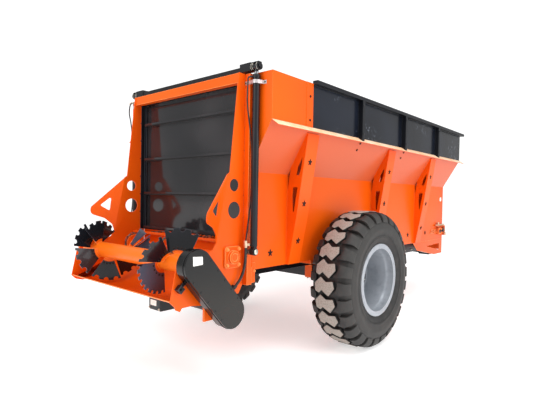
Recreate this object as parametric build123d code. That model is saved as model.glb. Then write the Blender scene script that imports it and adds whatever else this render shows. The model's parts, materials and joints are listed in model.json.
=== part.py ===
from build123d import *
import math
import os

# Rear-discharge manure spreader on one axle, parked on its drawbar jack.
# Frame: +X forward, +Y left, +Z up, millimetres. The ground is Z = 0. The X values below
# are counted from the plane of the tailgate. When the pieces are written they all move
# along X together, so that the origin lies on the ground under the middle of the machine.

# ---- box ----------------------------------------------------------------------------
BODY_LENGTH = 4400        # tailgate plane to the front edge of the side walls
LOWER_HALF = 749          # outer face of the upright lower wall
UPPER_HALF = 990          # outer face of the upper wall
SHEET = 5                 # wall sheet
WALL_FOOT_Z = 865
FOLD_Z = 1674             # the wall leans out above this fold
EAVE_Z = 2080             # and stands upright again above the eave
TOP_Z = 2459
LEDGE_OUT = 68
LEDGE_DROP = 48
CORNER_LENGTH = 534       # steel corner at the tail end of the upper wall
FRONT_WALL_X = BODY_LENGTH - 60
SKIRT_DEPTH = 225         # deep side plate at the front
SKIRT_THICK = 8
POST_OUT = 50             # extension frame stands this far out from its panel
POST_WIDE = 45
RAIL_TALL = 35
RAIL_END_X = BODY_LENGTH + 31   # the extension rails reach a little past the body
RAIL_TOP_Z = 2484
PANEL = 4

# ---- floor and conveyor ---------------------------------------------------------------
CONVEYOR_Z = 994          # height of both conveyor shafts
DRIVE_X = -178
IDLER_X = BODY_LENGTH - 205
CHAIN_PITCH_R = 92
CHAIN_HALF = 12
CHAIN_WIDE = 24
SLAT_THICK = 15
SLAT_WIDE = 40
SLAT_PITCH = 365
SHAFT_R = 30
FLOOR_THICK = 6
FLOOR_GAP = 0.3           # chain links ride just clear of the floor

# ---- tail frame -----------------------------------------------------------------------
CHEEK = 10                # side plates beside the rotor
POST_X = -55              # tail face of the tail posts
POST_OUT_Y = 800
TAIL_TOP_Z = 2449
BEAM_Z = 2372             # underside of the top crossbeam
BEAM_X = (-120, -62)
BEND_TOP = (-232, 1640)   # the ear is bent outward along this line
BEND_LOW = (-340, 1112)
EAR_FLARE = 26

# ---- tailgate -------------------------------------------------------------------------
GATE_HALF = 732
GATE_FOOT_Z = 1124
GATE_TOP_Z = 2400
GATE_THICK = 6
GATE_X = 4
GATE_RIBS_Z = (1140, 1486, 1826, 2175, 2385)
RIB_TALL = 31
RIB_DEEP = 45
GUIDE_GAP = 8
BAR_Z = (2471, 2507)
BAR_X = (-65, -15)

# ---- gate cylinders -------------------------------------------------------------------
CYL_X = -40
CYL_Y = 855
CYL_R = 29
CYL_BORE_R = 23
ROD_R = 16
CYL_FOOT_Z = 1034
CYL_TOP_Z = 2432
PIN_R = 15
RUN = 0.05                # running clearance on a radius

# ---- rotor, trough and drive ------------------------------------------------------------
ROTOR_X = -600
ROTOR_Z = 976
ROTOR_TUBE_R = 66.5
ROTOR_WALL = 8
ROTOR_HALF = 705
FLIGHT_R = 128
BLADE_R = 256
BLADE_IN_R = 95
BLADE_THICK = 8
TROUGH_R = 281
TROUGH_THICK = 6
CASE_IN_Y = 766
CASE_THICK = 100
CASE_R = 120
CASE_LOW = (-264, 589)    # lower sprocket of the side chain drive
CASE_WALL = 4

# ---- running gear -----------------------------------------------------------------------
AXLE_X = 1374
WHEEL_R = 674
HALF_TRACK = 1041
TYRE_HALF = 222
RIM_HALF = 190
RIM_FLANGE_R = 355.5
RIM_SEAT_R = 317.5
DISC_Y = HALF_TRACK - 126   # mounting face of the wheel disc
HUB_R = 105
WHEEL_BOLTS = 10
BOLT_CIRCLE_R = 167.5
SPINDLE_R = 45
AXLE_HALF = 64            # half of the square axle beam
RAIL_IN = 380
RAIL_OUT = 460
RAIL_Z = (745, 865)

# ---- drawbar and jack ---------------------------------------------------------------------
HITCH_X = BODY_LENGTH + 1555
HITCH_Z = 480
EYE_BORE_R = 25
EYE_R = 65
EYE_THICK = 40
NOSE_X = (HITCH_X - 395, HITCH_X - 125)
SHOE_Z = 665
LEG_WIDE = 80
LEG_TALL = 110
JACK_X = BODY_LENGTH + 500
JACK_Y = 385
JACK_TUBE = 90
JACK_LEG = 70
JACK_GAP = 0.5
PTO_Z = 782
PTO_R = 17.45
CARRIER_X = 1150

SIDES = {"left": 1, "right": -1}
parts = {}


# ---- small tools ----------------------------------------------------------------------------
def block(x, y, z):
    """Box between two corners, each given as a (low, high) pair."""
    size = Box(x[1] - x[0], y[1] - y[0], z[1] - z[0], align=(Align.MIN,) * 3)
    return Pos(x[0], y[0], z[0]) * size


def prism(points, axis, low, high, fillets=None):
    """Flat outline in the two other axes, drawn out along one axis from low to high."""
    place = {
        "x": lambda a, b: (low, a, b),
        "y": lambda a, b: (a, low, b),
        "z": lambda a, b: (a, b, low),
    }[axis]
    way = {"x": (1, 0, 0), "y": (0, 1, 0), "z": (0, 0, 1)}[axis]
    corners = [place(*point) for point in points]
    if fillets:
        outline = FilletPolyline(*corners, radius=fillets, close=True)
    else:
        outline = Polyline(*corners, close=True)
    return extrude(make_face(outline), amount=high - low, dir=way)


def rod(start, end, radius, bore=0):
    """Round bar or tube between two points."""
    start, end = Vector(*start), Vector(*end)
    plane = Plane(origin=start, z_dir=end - start)
    bar = extrude(plane * Circle(radius), amount=(end - start).length)
    if bore:
        bar -= extrude(plane * Circle(bore), amount=(end - start).length)
    return bar


def ring(axis_xz, y, radius, bore=0):
    """Disc or ring about an axis along Y."""
    return rod((axis_xz[0], y[0], axis_xz[1]), (axis_xz[0], y[1], axis_xz[1]), radius, bore)


def long_round(ends, y, radius):
    """Round-ended plate about two points given as (x, height)."""
    start, end = (Vector(x, y[0], z) for x, z in ends)
    plane = Plane(origin=(start + end) / 2, x_dir=end - start, z_dir=(0, 1, 0))
    return extrude(plane * SlotCenterToCenter((end - start).length, 2 * radius), amount=y[1] - y[0])


def hose(points, radius):
    """Tube along straight runs joined by arcs as large as the runs allow."""
    places = [Vector(*point) for point in points]
    bends = []
    for before, here, after in zip(places, places[1:], places[2:]):
        turn = math.radians((here - before).get_angle(after - here))
        shorter = min((here - before).length, (after - here).length)
        bends.append(0.45 * shorter / math.tan(turn / 2))
    path = FilletPolyline(*places, radius=bends)
    return sweep(Plane(origin=path @ 0, z_dir=path % 0) * Circle(radius), path=path)


def beam(start, end, wide, tall):
    """Rectangular bar between two points, its tall side upright."""
    start, end = Vector(*start), Vector(*end)
    across = Vector(0, 0, 1).cross(end - start)
    plane = Plane(origin=start, x_dir=across, z_dir=end - start)
    return extrude(plane * Rectangle(wide, tall), amount=(end - start).length)


def fold(points, thick):
    """Second face of a folded sheet: the outline shifted to its left by its thickness."""
    shifted = []
    for i, (a, b) in enumerate(points):
        ways = []
        for p, q in ((points[max(i - 1, 0)], points[max(i, 1)]),
                     (points[min(i, len(points) - 2)], points[min(i + 1, len(points) - 1)])):
            run = math.hypot(q[0] - p[0], q[1] - p[1])
            ways.append((-(q[1] - p[1]) / run, (q[0] - p[0]) / run))
        normal = (ways[0][0] + ways[1][0], ways[0][1] + ways[1][1])
        scale = thick / (1 + ways[0][0] * ways[1][0] + ways[0][1] * ways[1][1])
        shifted.append((a + normal[0] * scale, b + normal[1] * scale))
    return shifted


def mirrored(shape, side):
    """A left-hand shape as it is, or its right-hand twin."""
    return shape if side > 0 else mirror(shape, about=Plane.XZ)


def twins(name, shape):
    """The same left-hand piece on both sides, each in its own node."""
    for side, sign in SIDES.items():
        parts[f"{name}_{side}"] = mirrored(shape, sign)


def pair(name, shape):
    """The same left-hand piece on both sides, in one node."""
    parts[name] = Compound(children=[solid for sign in SIDES.values()
                                     for solid in mirrored(shape, sign).solids()])


# ---- side walls -----------------------------------------------------------------------------
INNER_HALF = LOWER_HALF - SHEET
WALL_LINE = [(LOWER_HALF, WALL_FOOT_Z), (LOWER_HALF, FOLD_Z), (UPPER_HALF, EAVE_Z)]
wall_inner = fold(WALL_LINE, SHEET)
lean = (UPPER_HALF - LOWER_HALF) / (EAVE_Z - FOLD_Z)
eave_inner = (wall_inner[1][0] + lean * (EAVE_Z - wall_inner[1][1]), EAVE_Z)
wall = prism(WALL_LINE + wall_inner[::-1], "x", 0, BODY_LENGTH)
wall -= block((0, BODY_LENGTH), (0, UPPER_HALF + SHEET), (EAVE_Z, TOP_Z))
SLOT_HALF = SHAFT_R + 5
slot_z = (CONVEYOR_Z - SLOT_HALF, CONVEYOR_Z + SLOT_HALF)
wall -= block((IDLER_X - 60, IDLER_X + 60), (0, LOWER_HALF), slot_z)
twins("side_wall", wall)

LEDGE_TIP = (UPPER_HALF + LEDGE_OUT, EAVE_Z - LEDGE_DROP)
ledge_under = fold([(UPPER_HALF, EAVE_Z), LEDGE_TIP][::-1], SHEET)[::-1]
ledge_root = (UPPER_HALF - lean * SHEET, EAVE_Z - SHEET)
ledge = prism([(UPPER_HALF, EAVE_Z), LEDGE_TIP, ledge_under[1], ledge_root], "x", 0, BODY_LENGTH)
pair("ledges", ledge)

# Tail corner: upper wall and the panel that closes the flare beside the tailgate.
corner = block((0, CORNER_LENGTH), (UPPER_HALF - SHEET, UPPER_HALF), (EAVE_Z, TOP_Z))
closing = [wall_inner[1], eave_inner, (UPPER_HALF - SHEET, EAVE_Z), (UPPER_HALF - SHEET, TOP_Z),
           (INNER_HALF, TOP_Z)]
corner += prism(closing, "x", 0, SHEET)
corner += block((CORNER_LENGTH - 90, CORNER_LENGTH), (UPPER_HALF, UPPER_HALF + SHEET), (EAVE_Z, TOP_Z))
pair("rear_corners", corner)

# Extension above the eave: panel, posts and top rail, welded into one frame a side.
POST_X_PLACES = (1339, 2350, 3398)
PANEL_END_X = BODY_LENGTH - 15
panel_y = (UPPER_HALF - PANEL, UPPER_HALF)
frame_y = (UPPER_HALF, UPPER_HALF + POST_OUT)
rail_z = (RAIL_TOP_Z - RAIL_TALL, RAIL_TOP_Z)
extension = block((CORNER_LENGTH, PANEL_END_X), panel_y, (EAVE_Z, rail_z[0]))
extension += block((CORNER_LENGTH, RAIL_END_X), (panel_y[0], frame_y[1]), rail_z)
for x in POST_X_PLACES:
    foot = [(UPPER_HALF, EAVE_Z), (frame_y[1], EAVE_Z - LEDGE_DROP * POST_OUT / LEDGE_OUT),
            (frame_y[1], rail_z[0]), (UPPER_HALF, rail_z[0])]
    extension += prism(foot, "x", x - POST_WIDE / 2, x + POST_WIDE / 2)
twins("extension", extension)

# Front wall follows the inside of the side walls; its top panel belongs to the extension.
front_outline = [(INNER_HALF, WALL_FOOT_Z), wall_inner[1], eave_inner]
front_outline = front_outline + [(-y, z) for y, z in front_outline[::-1]]
parts["front_wall"] = prism(front_outline, "x", FRONT_WALL_X, FRONT_WALL_X + SHEET)
top_panel = block((FRONT_WALL_X, FRONT_WALL_X + PANEL), (-panel_y[0], panel_y[0]), (EAVE_Z, RAIL_TOP_Z))
top_panel += block((FRONT_WALL_X + PANEL, RAIL_END_X), (-panel_y[0], panel_y[0]), rail_z)
parts["front_extension"] = top_panel

# Deep side plate at the front, flush with the wall above it.
SKIRT_Z = WALL_FOOT_Z - SKIRT_DEPTH
SKIRT_X = BODY_LENGTH - 1100
skirt_line = [(SKIRT_X, WALL_FOOT_Z), (SKIRT_X + 150, SKIRT_Z + 110), (SKIRT_X + 780, SKIRT_Z),
              (BODY_LENGTH, SKIRT_Z), (BODY_LENGTH, WALL_FOOT_Z)]
skirt = prism(skirt_line, "y", LOWER_HALF - SKIRT_THICK, LOWER_HALF)
skirt_window = [(SKIRT_X + 470, 787), (SKIRT_X + 950, 702), (SKIRT_X + 990, 702), (SKIRT_X + 990, 800)]
skirt -= prism(skirt_window, "y", 0, LOWER_HALF)
pair("front_skirts", skirt)

# Three tapering box ribs a side stiffen the wall below the ledge.
RIB_X = (500, 2055, 3305)
RIB_WIDE = 170
rib_top = (UPPER_HALF - lean * 60, EAVE_Z - 60)
RIB_LINE = [(LOWER_HALF + 26, WALL_FOOT_Z), (LOWER_HALF + 118, 1350), (UPPER_HALF - 17, 2030)]
rib_outline = [(LOWER_HALF, FOLD_Z), (LOWER_HALF, WALL_FOOT_Z)] + RIB_LINE + [rib_top]
rib_core = fold(RIB_LINE, SHEET)
core_outline = [(LOWER_HALF, FOLD_Z), (LOWER_HALF, WALL_FOOT_Z + 20)] + rib_core[1:] + [rib_top]
RIB_SLOTS = (              # corners of each opening, (out from the wall, height)
    ((100, 1668), (132, 1668), (156, 1746), (167, 1828), (118, 1744)),
    ((66, 1560), (117, 1560), (90, 1410), (80, 1344), (68, 1344), (60, 1467)),
    ((0, 1518), (16, 1600), (24, 1660), (41, 1743), (0, FOLD_Z)),
)
ribs = []
for x in RIB_X:
    rib = prism(rib_outline, "x", x, x + RIB_WIDE)
    rib -= prism(core_outline, "x", x + SHEET, x + RIB_WIDE - SHEET)
    for slot in RIB_SLOTS:
        rib -= prism([(LOWER_HALF + out, z) for out, z in slot], "x", x, x + RIB_WIDE)
    ribs.append(rib)
twins("side_ribs", Compound(children=ribs))

# ---- chassis ----------------------------------------------------------------------------------
CROSS_X = (-20, 900, 1800, 2700, 3600, BODY_LENGTH - 80)
CROSS_WIDE = 80
CROSS_TALL = 40
FRONT_ARM_Z = 700         # the arms of the front member are deep, behind the skirt's window
rail = block((CROSS_X[0], BODY_LENGTH), (RAIL_IN, RAIL_OUT), RAIL_Z)
rail -= block((CROSS_X[0], BODY_LENGTH), (RAIL_IN + 6, RAIL_OUT - 6), (RAIL_Z[0] + 6, RAIL_Z[1] - 6))
pair("chassis_rails", rail)

CROSS_Z = (RAIL_Z[1] - CROSS_TALL, RAIL_Z[1])
cross_members = []
for x in CROSS_X[:-1]:
    span = (x, x + CROSS_WIDE)
    cross_members.append(block(span, (-RAIL_IN, RAIL_IN), CROSS_Z))
    arm = block(span, (RAIL_OUT, INNER_HALF - SKIRT_THICK), CROSS_Z)
    arm += block(span, (INNER_HALF - 2 * SKIRT_THICK, INNER_HALF), (WALL_FOOT_Z, WALL_FOOT_Z + 60))
    cross_members += [mirrored(arm, side) for side in SIDES.values()]
span = (CROSS_X[-1], BODY_LENGTH)
front_member = block(span, (-RAIL_IN, RAIL_IN), (PTO_Z - 45, RAIL_Z[1]))
cross_members.append(front_member - rod((span[0], 0, PTO_Z), (span[1], 0, PTO_Z), SHAFT_R + RUN))
arm = block(span, (RAIL_OUT, LOWER_HALF - SKIRT_THICK), (FRONT_ARM_Z, RAIL_Z[1]))
cross_members += [mirrored(arm, side) for side in SIDES.values()]
parts["cross_members"] = Compound(children=cross_members)

FLOOR_Z = CONVEYOR_Z + CHAIN_PITCH_R - CHAIN_HALF - FLOOR_GAP
FLOOR_END_X = IDLER_X - 35
parts["floor"] = block((0, FLOOR_END_X), (-INNER_HALF, INNER_HALF), (FLOOR_Z - FLOOR_THICK, FLOOR_Z))
bearers = [block((x, x + 60), (-INNER_HALF, INNER_HALF), (FLOOR_Z - FLOOR_THICK - 100, FLOOR_Z - FLOOR_THICK))
           for x in range(60, IDLER_X - 200, 780)]
parts["floor_bearers"] = Compound(children=bearers)

# ---- scraper conveyor -------------------------------------------------------------------------
STRANDS_Y = (90, 650)      # chain centre lines of the left-hand conveyor
CHAIN_OUT_R = CHAIN_PITCH_R + CHAIN_HALF


shaft_ends = ((DRIVE_X, CONVEYOR_Z), (IDLER_X, CONVEYOR_Z))
conveyor = None
for y in STRANDS_Y:
    span = (y - CHAIN_WIDE / 2, y + CHAIN_WIDE / 2)
    strand = long_round(shaft_ends, span, CHAIN_OUT_R)
    strand -= long_round(shaft_ends, span, CHAIN_PITCH_R - CHAIN_HALF)
    conveyor = strand if conveyor is None else conveyor + strand
slat_y = (STRANDS_Y[0] - 40, STRANDS_Y[1] + 40)
for i in range(int((IDLER_X - DRIVE_X) / SLAT_PITCH) + 1):
    x = DRIVE_X + 10 + i * SLAT_PITCH
    for z in ((CONVEYOR_Z + CHAIN_OUT_R, CONVEYOR_Z + CHAIN_OUT_R + SLAT_THICK),
              (CONVEYOR_Z - CHAIN_OUT_R - SLAT_THICK, CONVEYOR_Z - CHAIN_OUT_R)):
        conveyor += block((x, x + SLAT_WIDE), slat_y, z)
pair("conveyor", conveyor)

SPROCKET_R = CHAIN_PITCH_R - CHAIN_HALF - FLOOR_GAP
for name, x, reach in (("drive_shaft", DRIVE_X, 785), ("idler_shaft", IDLER_X, 775)):
    shaft = ring((x, CONVEYOR_Z), (-reach, reach), SHAFT_R)
    for y in STRANDS_Y:
        for side in SIDES.values():
            shaft += ring((x, CONVEYOR_Z), sorted((side * (y - 10), side * (y + 10))), SPROCKET_R)
    parts[name] = shaft

# ---- bearings ---------------------------------------------------------------------------------
def flange_bearing(axis_xz, y, half, depth, bore):
    """Square four-bolt housing: flange, then a round boss."""
    x, z = axis_xz
    housing = block((x - half, x + half), (y, y + depth * 0.4), (z - half, z + half))
    housing = fillet(housing.edges().filter_by(Axis.Y), half * 0.3)
    housing += ring(axis_xz, (y + depth * 0.4, y + depth), half * 0.62)
    return housing - ring(axis_xz, (y, y + depth), bore)


pair("drive_bearings", flange_bearing((DRIVE_X, CONVEYOR_Z), LOWER_HALF, 85, 40, SHAFT_R + RUN))

TAKE_UP_Z = CONVEYOR_Z + 72
take_y = (LOWER_HALF, LOWER_HALF + 45)
screw = (LOWER_HALF + 24, CONVEYOR_Z)
take_up = block((IDLER_X - 55, IDLER_X + 55), take_y, (CONVEYOR_Z - 48, CONVEYOR_Z + 48))
take_up -= ring((IDLER_X, CONVEYOR_Z), take_y, SHAFT_R + RUN)
take_up += block((IDLER_X - 110, BODY_LENGTH), take_y, (TAKE_UP_Z, TAKE_UP_Z + 8))
take_up += block((BODY_LENGTH - 12, BODY_LENGTH), take_y, (CONVEYOR_Z - 72, TAKE_UP_Z))
take_up += block((IDLER_X - 10, IDLER_X + 10), (take_y[0], take_y[0] + 20), (CONVEYOR_Z + 48, TAKE_UP_Z))
take_up += rod((IDLER_X + 55, *screw), (BODY_LENGTH + 45, *screw), 10)
pair("take_ups", take_up)

# ---- tail frame -------------------------------------------------------------------------------
CHEEK_Y = (LOWER_HALF - CHEEK, LOWER_HALF)
CHEEK_LINE = [              # cheek plate outline, (x, height), from the top round the tail
    (POST_X, TAIL_TOP_Z), (-125, TAIL_TOP_Z), (-206, 1658), BEND_TOP, BEND_LOW, (-374, 1062),
    (-432, 1044), (-706, 948), (-752, 727), (-712, 690), (-652, 674), (-568, 675),
    (-465, 660), (-95, 695), (POST_X, 760),
]
EAR_LINE = [BEND_TOP, (-206, 1658), (-526, 1343), (-531, 1280), (-415, 1236), (-356, 1179), BEND_LOW]
EAR_WINDOW = [(-347, 1452), (-450, 1362), (-368, 1306)]
bend_way = Vector(BEND_TOP[0] - BEND_LOW[0], 0, BEND_TOP[1] - BEND_LOW[1]).normalized()
slope_out = math.tan(math.radians(EAR_FLARE))


def ear_point(x, z):
    """Point on the inner face of the bent ear, by its distance from the bend line."""
    off = Vector(x - BEND_LOW[0], 0, z - BEND_LOW[1])
    distance = off.cross(bend_way).Y
    return Vector(x, CHEEK_Y[0] + abs(distance) * slope_out, z)


cheek = prism(CHEEK_LINE, "y", *CHEEK_Y)
ear_corners = [ear_point(x, z) for x, z in EAR_LINE if (x, z) != (-206, 1658)]
ear_face = make_face(FilletPolyline(*ear_corners, radius=[0.5, 45, 45, 60, 40, 0.5], close=True)).face()
ear_normal = ear_face.normal_at()
if ear_normal.Y < 0:
    ear_normal = -ear_normal
cheek += extrude(ear_face, amount=CHEEK, dir=ear_normal)
cheek -= prism(EAR_WINDOW, "y", CHEEK_Y[0] - 5, UPPER_HALF, fillets=12)
for x, z, radius in ((-158, 1559, 50), (-155, 1362, 67.5), (ROTOR_X, ROTOR_Z, SHAFT_R + 6),
                     (DRIVE_X, CONVEYOR_Z, SHAFT_R + 6)):
    cheek -= ring((x, z), CHEEK_Y, radius)
twins("cheek_plate", cheek)
TAB_LINE = [(-712, 690), (-705, 668), (-669, 650), (-652, 674)]
parts["cheek_plate_right"] += prism(TAB_LINE, "y", -CHEEK_Y[1], -CHEEK_Y[0])

POST_FOOT_Z = 759
post_y = (LOWER_HALF, POST_OUT_Y)
post = block((POST_X, 0), post_y, (POST_FOOT_Z, TAIL_TOP_Z))
post -= block((POST_X + SHEET, -SHEET), (post_y[0] + SHEET, post_y[1] - SHEET),
              (POST_FOOT_Z, TAIL_TOP_Z - SHEET))
post += block((0, 88), (LOWER_HALF, LOWER_HALF + 6), (POST_FOOT_Z, WALL_FOOT_Z + 60))
pair("tail_posts", post)

parts["top_crossbeam"] = (block(BEAM_X, (-CHEEK_Y[0], CHEEK_Y[0]), (BEAM_Z, TAIL_TOP_Z))
                          - block((BEAM_X[0] + SHEET, BEAM_X[1] - SHEET), (-CHEEK_Y[0], CHEEK_Y[0]),
                                  (BEAM_Z + SHEET, TAIL_TOP_Z - SHEET)))

GUIDE_Y = GATE_HALF + 6
lip_y = (GATE_HALF - 24, INNER_HALF)
gate_front_x = GATE_X + GATE_THICK
guide = block((POST_X, 0), (GUIDE_Y, LOWER_HALF), (GATE_FOOT_Z, TAIL_TOP_Z))
guide += block((0, gate_front_x + GUIDE_GAP + 8), (GUIDE_Y, INNER_HALF), (GATE_FOOT_Z, TAIL_TOP_Z))
guide += block((GATE_X - GUIDE_GAP - 8, GATE_X - GUIDE_GAP), lip_y, (GATE_FOOT_Z, TAIL_TOP_Z))
guide += block((gate_front_x + GUIDE_GAP, gate_front_x + GUIDE_GAP + 8), lip_y, (GATE_FOOT_Z, TAIL_TOP_Z))
pair("gate_guides", guide)

# ---- trough -----------------------------------------------------------------------------------
TROUGH_FROM, TROUGH_TO = 239, 341
shell = ring((ROTOR_X, ROTOR_Z), (-CHEEK_Y[0], CHEEK_Y[0]), TROUGH_R + TROUGH_THICK, TROUGH_R)
reach = 2 * TROUGH_R
wedge = [(ROTOR_X, ROTOR_Z)]
for angle in (TROUGH_FROM, (TROUGH_FROM + TROUGH_TO) / 2, TROUGH_TO):
    turn = math.radians(angle)
    wedge.append((ROTOR_X + reach * math.cos(turn), ROTOR_Z + reach * math.sin(turn)))
parts["trough"] = shell & prism(wedge, "y", -CHEEK_Y[0], CHEEK_Y[0])

# ---- tailgate ---------------------------------------------------------------------------------
gate = block((GATE_X, gate_front_x), (-GATE_HALF, GATE_HALF), (GATE_FOOT_Z, GATE_TOP_Z))
rib_half = lip_y[0] - GUIDE_GAP
for z in GATE_RIBS_Z:
    rib_low = z - RIB_TALL / 2
    gate += block((GATE_X - RIB_DEEP, GATE_X), (-rib_half, rib_half), (rib_low, rib_low + RIB_TALL))
for y in (-400, 400):
    gate += block((BAR_X[1], BAR_X[1] + 12), (y - 60, y + 60), (GATE_RIBS_Z[-1] - RIB_TALL / 2, BAR_Z[1] - 6))
parts["tailgate"] = gate

BLOCK_Y = (695, 815)
BLOCK_Z = (2464, 2530)
EYE_Z = 2496
EYE_HALF = 24
EYE_LUG = 13
LUG_R = 31
bar = block(BAR_X, (-BLOCK_Y[0], BLOCK_Y[0]), BAR_Z)
for side in SIDES.values():
    end = block((BAR_X[0] - 5, BAR_X[1] + 5), BLOCK_Y, BLOCK_Z)
    lug_in = (CYL_Y - EYE_HALF - EYE_LUG, CYL_Y - EYE_HALF)
    lug_out = (CYL_Y + EYE_HALF, CYL_Y + EYE_HALF + EYE_LUG)
    end += block((CYL_X - 20, CYL_X + 20), (BLOCK_Y[1] - 5, lug_out[1]), (EYE_Z + 27, EYE_Z + 34))
    end += ring((CYL_X, EYE_Z), (BLOCK_Y[1], lug_in[1]), LUG_R) + ring((CYL_X, EYE_Z), lug_out, LUG_R)
    end += ring((CYL_X, EYE_Z), (lug_in[0], lug_out[1] + 10), PIN_R)
    bar += mirrored(end, side)
parts["lift_bar"] = bar

ROD_FOOT_Z = 1180
eye = ring((CYL_X, EYE_Z), (CYL_Y - EYE_HALF + 1, CYL_Y + EYE_HALF - 1), 25)
ram = rod((CYL_X, CYL_Y, ROD_FOOT_Z), (CYL_X, CYL_Y, EYE_Z), ROD_R) + eye
ram += rod((CYL_X, CYL_Y, ROD_FOOT_Z), (CYL_X, CYL_Y, ROD_FOOT_Z + 40), CYL_BORE_R - RUN)
ram -= ring((CYL_X, EYE_Z), (CYL_Y - EYE_HALF, CYL_Y + EYE_HALF), PIN_R + RUN)
pair("cylinder_rods", ram)

# ---- gate cylinders ---------------------------------------------------------------------------
FOOT_HALF = 20
foot_pin = (CYL_X, CYL_FOOT_Z)
foot_y = (CYL_Y - FOOT_HALF, CYL_Y + FOOT_HALF)
barrel = rod((CYL_X, CYL_Y, CYL_FOOT_Z + 44), (CYL_X, CYL_Y, CYL_TOP_Z), CYL_R)
barrel += block((CYL_X - 16, CYL_X + 16), foot_y, (CYL_FOOT_Z + 16, CYL_FOOT_Z + 44))
barrel -= rod((CYL_X, CYL_Y, CYL_FOOT_Z + 60), (CYL_X, CYL_Y, CYL_TOP_Z - 40), CYL_BORE_R)
barrel -= rod((CYL_X, CYL_Y, CYL_TOP_Z - 40), (CYL_X, CYL_Y, CYL_TOP_Z), ROD_R + RUN)
barrel += ring(foot_pin, foot_y, 30)
barrel -= ring(foot_pin, foot_y, PIN_R + RUN)
pair("cylinder_barrels", barrel)

boss = ring(foot_pin, (POST_OUT_Y, foot_y[0] - 1), 30) + ring(foot_pin, (POST_OUT_Y, foot_y[1] + 1), PIN_R)
pair("cylinder_feet", boss + ring(foot_pin, (foot_y[1] + 1, foot_y[1] + 10), PIN_R + 5))

# Oil lines: a thin one from each top port, then a thick one to a fitting in the cheek plate.
FAR = (CYL_X, CYL_Y + CYL_R + 0.9, 2418)
NEAR = (CYL_X - CYL_R + 7.7, CYL_Y - CYL_R + 7.7, 2416)
THIN_HOSE = {               # (x, |y|, height) from the top port down to the fitting
    "left": [FAR, (CYL_X, 975, 2440), (CYL_X, 1002, 2340), (CYL_X, 950, 2200), (CYL_X, 912, 1900),
             (CYL_X, 908, 1400), (-70, 890, 1230), (-91, 815, 1110)],
    "right": [NEAR, (-92, 814, 2410), (-100, 814, 2200), (-62, 814, 2020), (-36, 814, 1860),
              (-34, 814, 1480), (-60, 814, 1290), (-91, 815, 1110)],
}
FITTING = ((-92, 815, 1118), (-82, 811, 1062))
THICK_HOSE = [(-83, 811, 1068), (-78, 802, 950), (-88, 793, 870), (-118, 783, 806), (-150, 775, 770),
              (-178, 775, 745)]
oil_lines = []
for name, sign in SIDES.items():
    line = hose(THIN_HOSE[name], 6) + rod(*FITTING, 13) + hose(THICK_HOSE, 11)
    line += rod((-87, 812, 1090), (CYL_X - CYL_R + 4.5, CYL_Y - CYL_R + 11.5, 1090), 9)
    line += rod((-170, LOWER_HALF + 0.3, 757), (-170, 775, 757), 13)
    oil_lines += mirrored(line, sign).solids()
parts["oil_lines"] = Compound(children=oil_lines)

CLAMP_Z = (2360, 2388)
mid = sum(CLAMP_Z) / 2
strap = (SHEET, CLAMP_Z[1] - CLAMP_Z[0])
clamp = block((POST_X - SHEET, POST_X), (POST_OUT_Y - 48, POST_OUT_Y - 8), CLAMP_Z)
clamp += beam((POST_X - 2.5, POST_OUT_Y - 10, mid), (CYL_X - 27, CYL_Y - 18, mid), *strap)
clamp += beam((-2.5, CYL_Y + 44, mid), (CYL_X - 6, CYL_Y + 31, mid), *strap)
clamp += block((-SHEET, 0), (CYL_Y + 40, CYL_Y + 74), CLAMP_Z)
clamp += rod((CYL_X, CYL_Y, CLAMP_Z[0]), (CYL_X, CYL_Y, CLAMP_Z[1]), CYL_R + SHEET)
clamp -= rod((CYL_X, CYL_Y, CLAMP_Z[0] - 5), (CYL_X, CYL_Y, CLAMP_Z[1] + 5), CYL_R)
pair("cylinder_clamps", clamp)

# ---- rotor ------------------------------------------------------------------------------------
drum = ring((ROTOR_X, ROTOR_Z), (-ROTOR_HALF, ROTOR_HALF), ROTOR_TUBE_R, ROTOR_TUBE_R - ROTOR_WALL)
for y in (-ROTOR_HALF, ROTOR_HALF - 12):
    drum += ring((ROTOR_X, ROTOR_Z), (y, y + 12), ROTOR_TUBE_R)
drum += ring((ROTOR_X, ROTOR_Z), (-(CASE_IN_Y + 40), LOWER_HALF + 60), SHAFT_R)

BLADES = (                 # (place along the shaft, turn about it, lean of its plane, kind)
    (612, 60, 20, "fan"), (490, 107, 20, "fan"), (535, 143, 20, "fan"),
    (430, 200, 15, "fan"), (340, 262, 30, "fan"), (280, 320, 30, "fan"),
    (112, 45, -12, "sliver"), (96, 31, 66, "paddle"), (80, 11, -12, "paddle"),
    (-100, 315, -30, "fan"), (-455, 229, -12, "broad"), (-560, 150, -30, "fan"),
    (-622, 80, -48, "scoop"),
)
KINDS = {                  # half angle, half width of the root, notches in the rim, radius, depth
    "fan": (28, 45, 3, 20, 26),
    "broad": (50, 70, 8, 14, 24),
    "paddle": (17, 26, 2, 14, 22),
    "sliver": (8, 12, 0, 0, 0),
    "scoop": (30, 78, 3, 20, 26),
}


def sector(inner, outer, half_angle, root_half):
    """Plate in the XY plane between two radii, centred on +X, with straight sides."""
    span = math.radians(half_angle)
    root_x = math.sqrt(inner ** 2 - root_half ** 2)
    rim = (outer * math.cos(span), outer * math.sin(span))
    spread = (rim[1] - root_half) / (rim[0] - root_x)
    far = (1.2 * outer, root_half + spread * (1.2 * outer - root_x))
    near = (0.4 * root_x, max(root_half - 0.6 * spread * root_x, 1))
    corners = [(near[0], -near[1]), (far[0], -far[1]), far, near]
    wedge = extrude(make_face(Polyline(*corners, close=True)), amount=BLADE_THICK)
    return (wedge & Cylinder(outer, 4 * BLADE_THICK)) - Cylinder(inner, 4 * BLADE_THICK)


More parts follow.
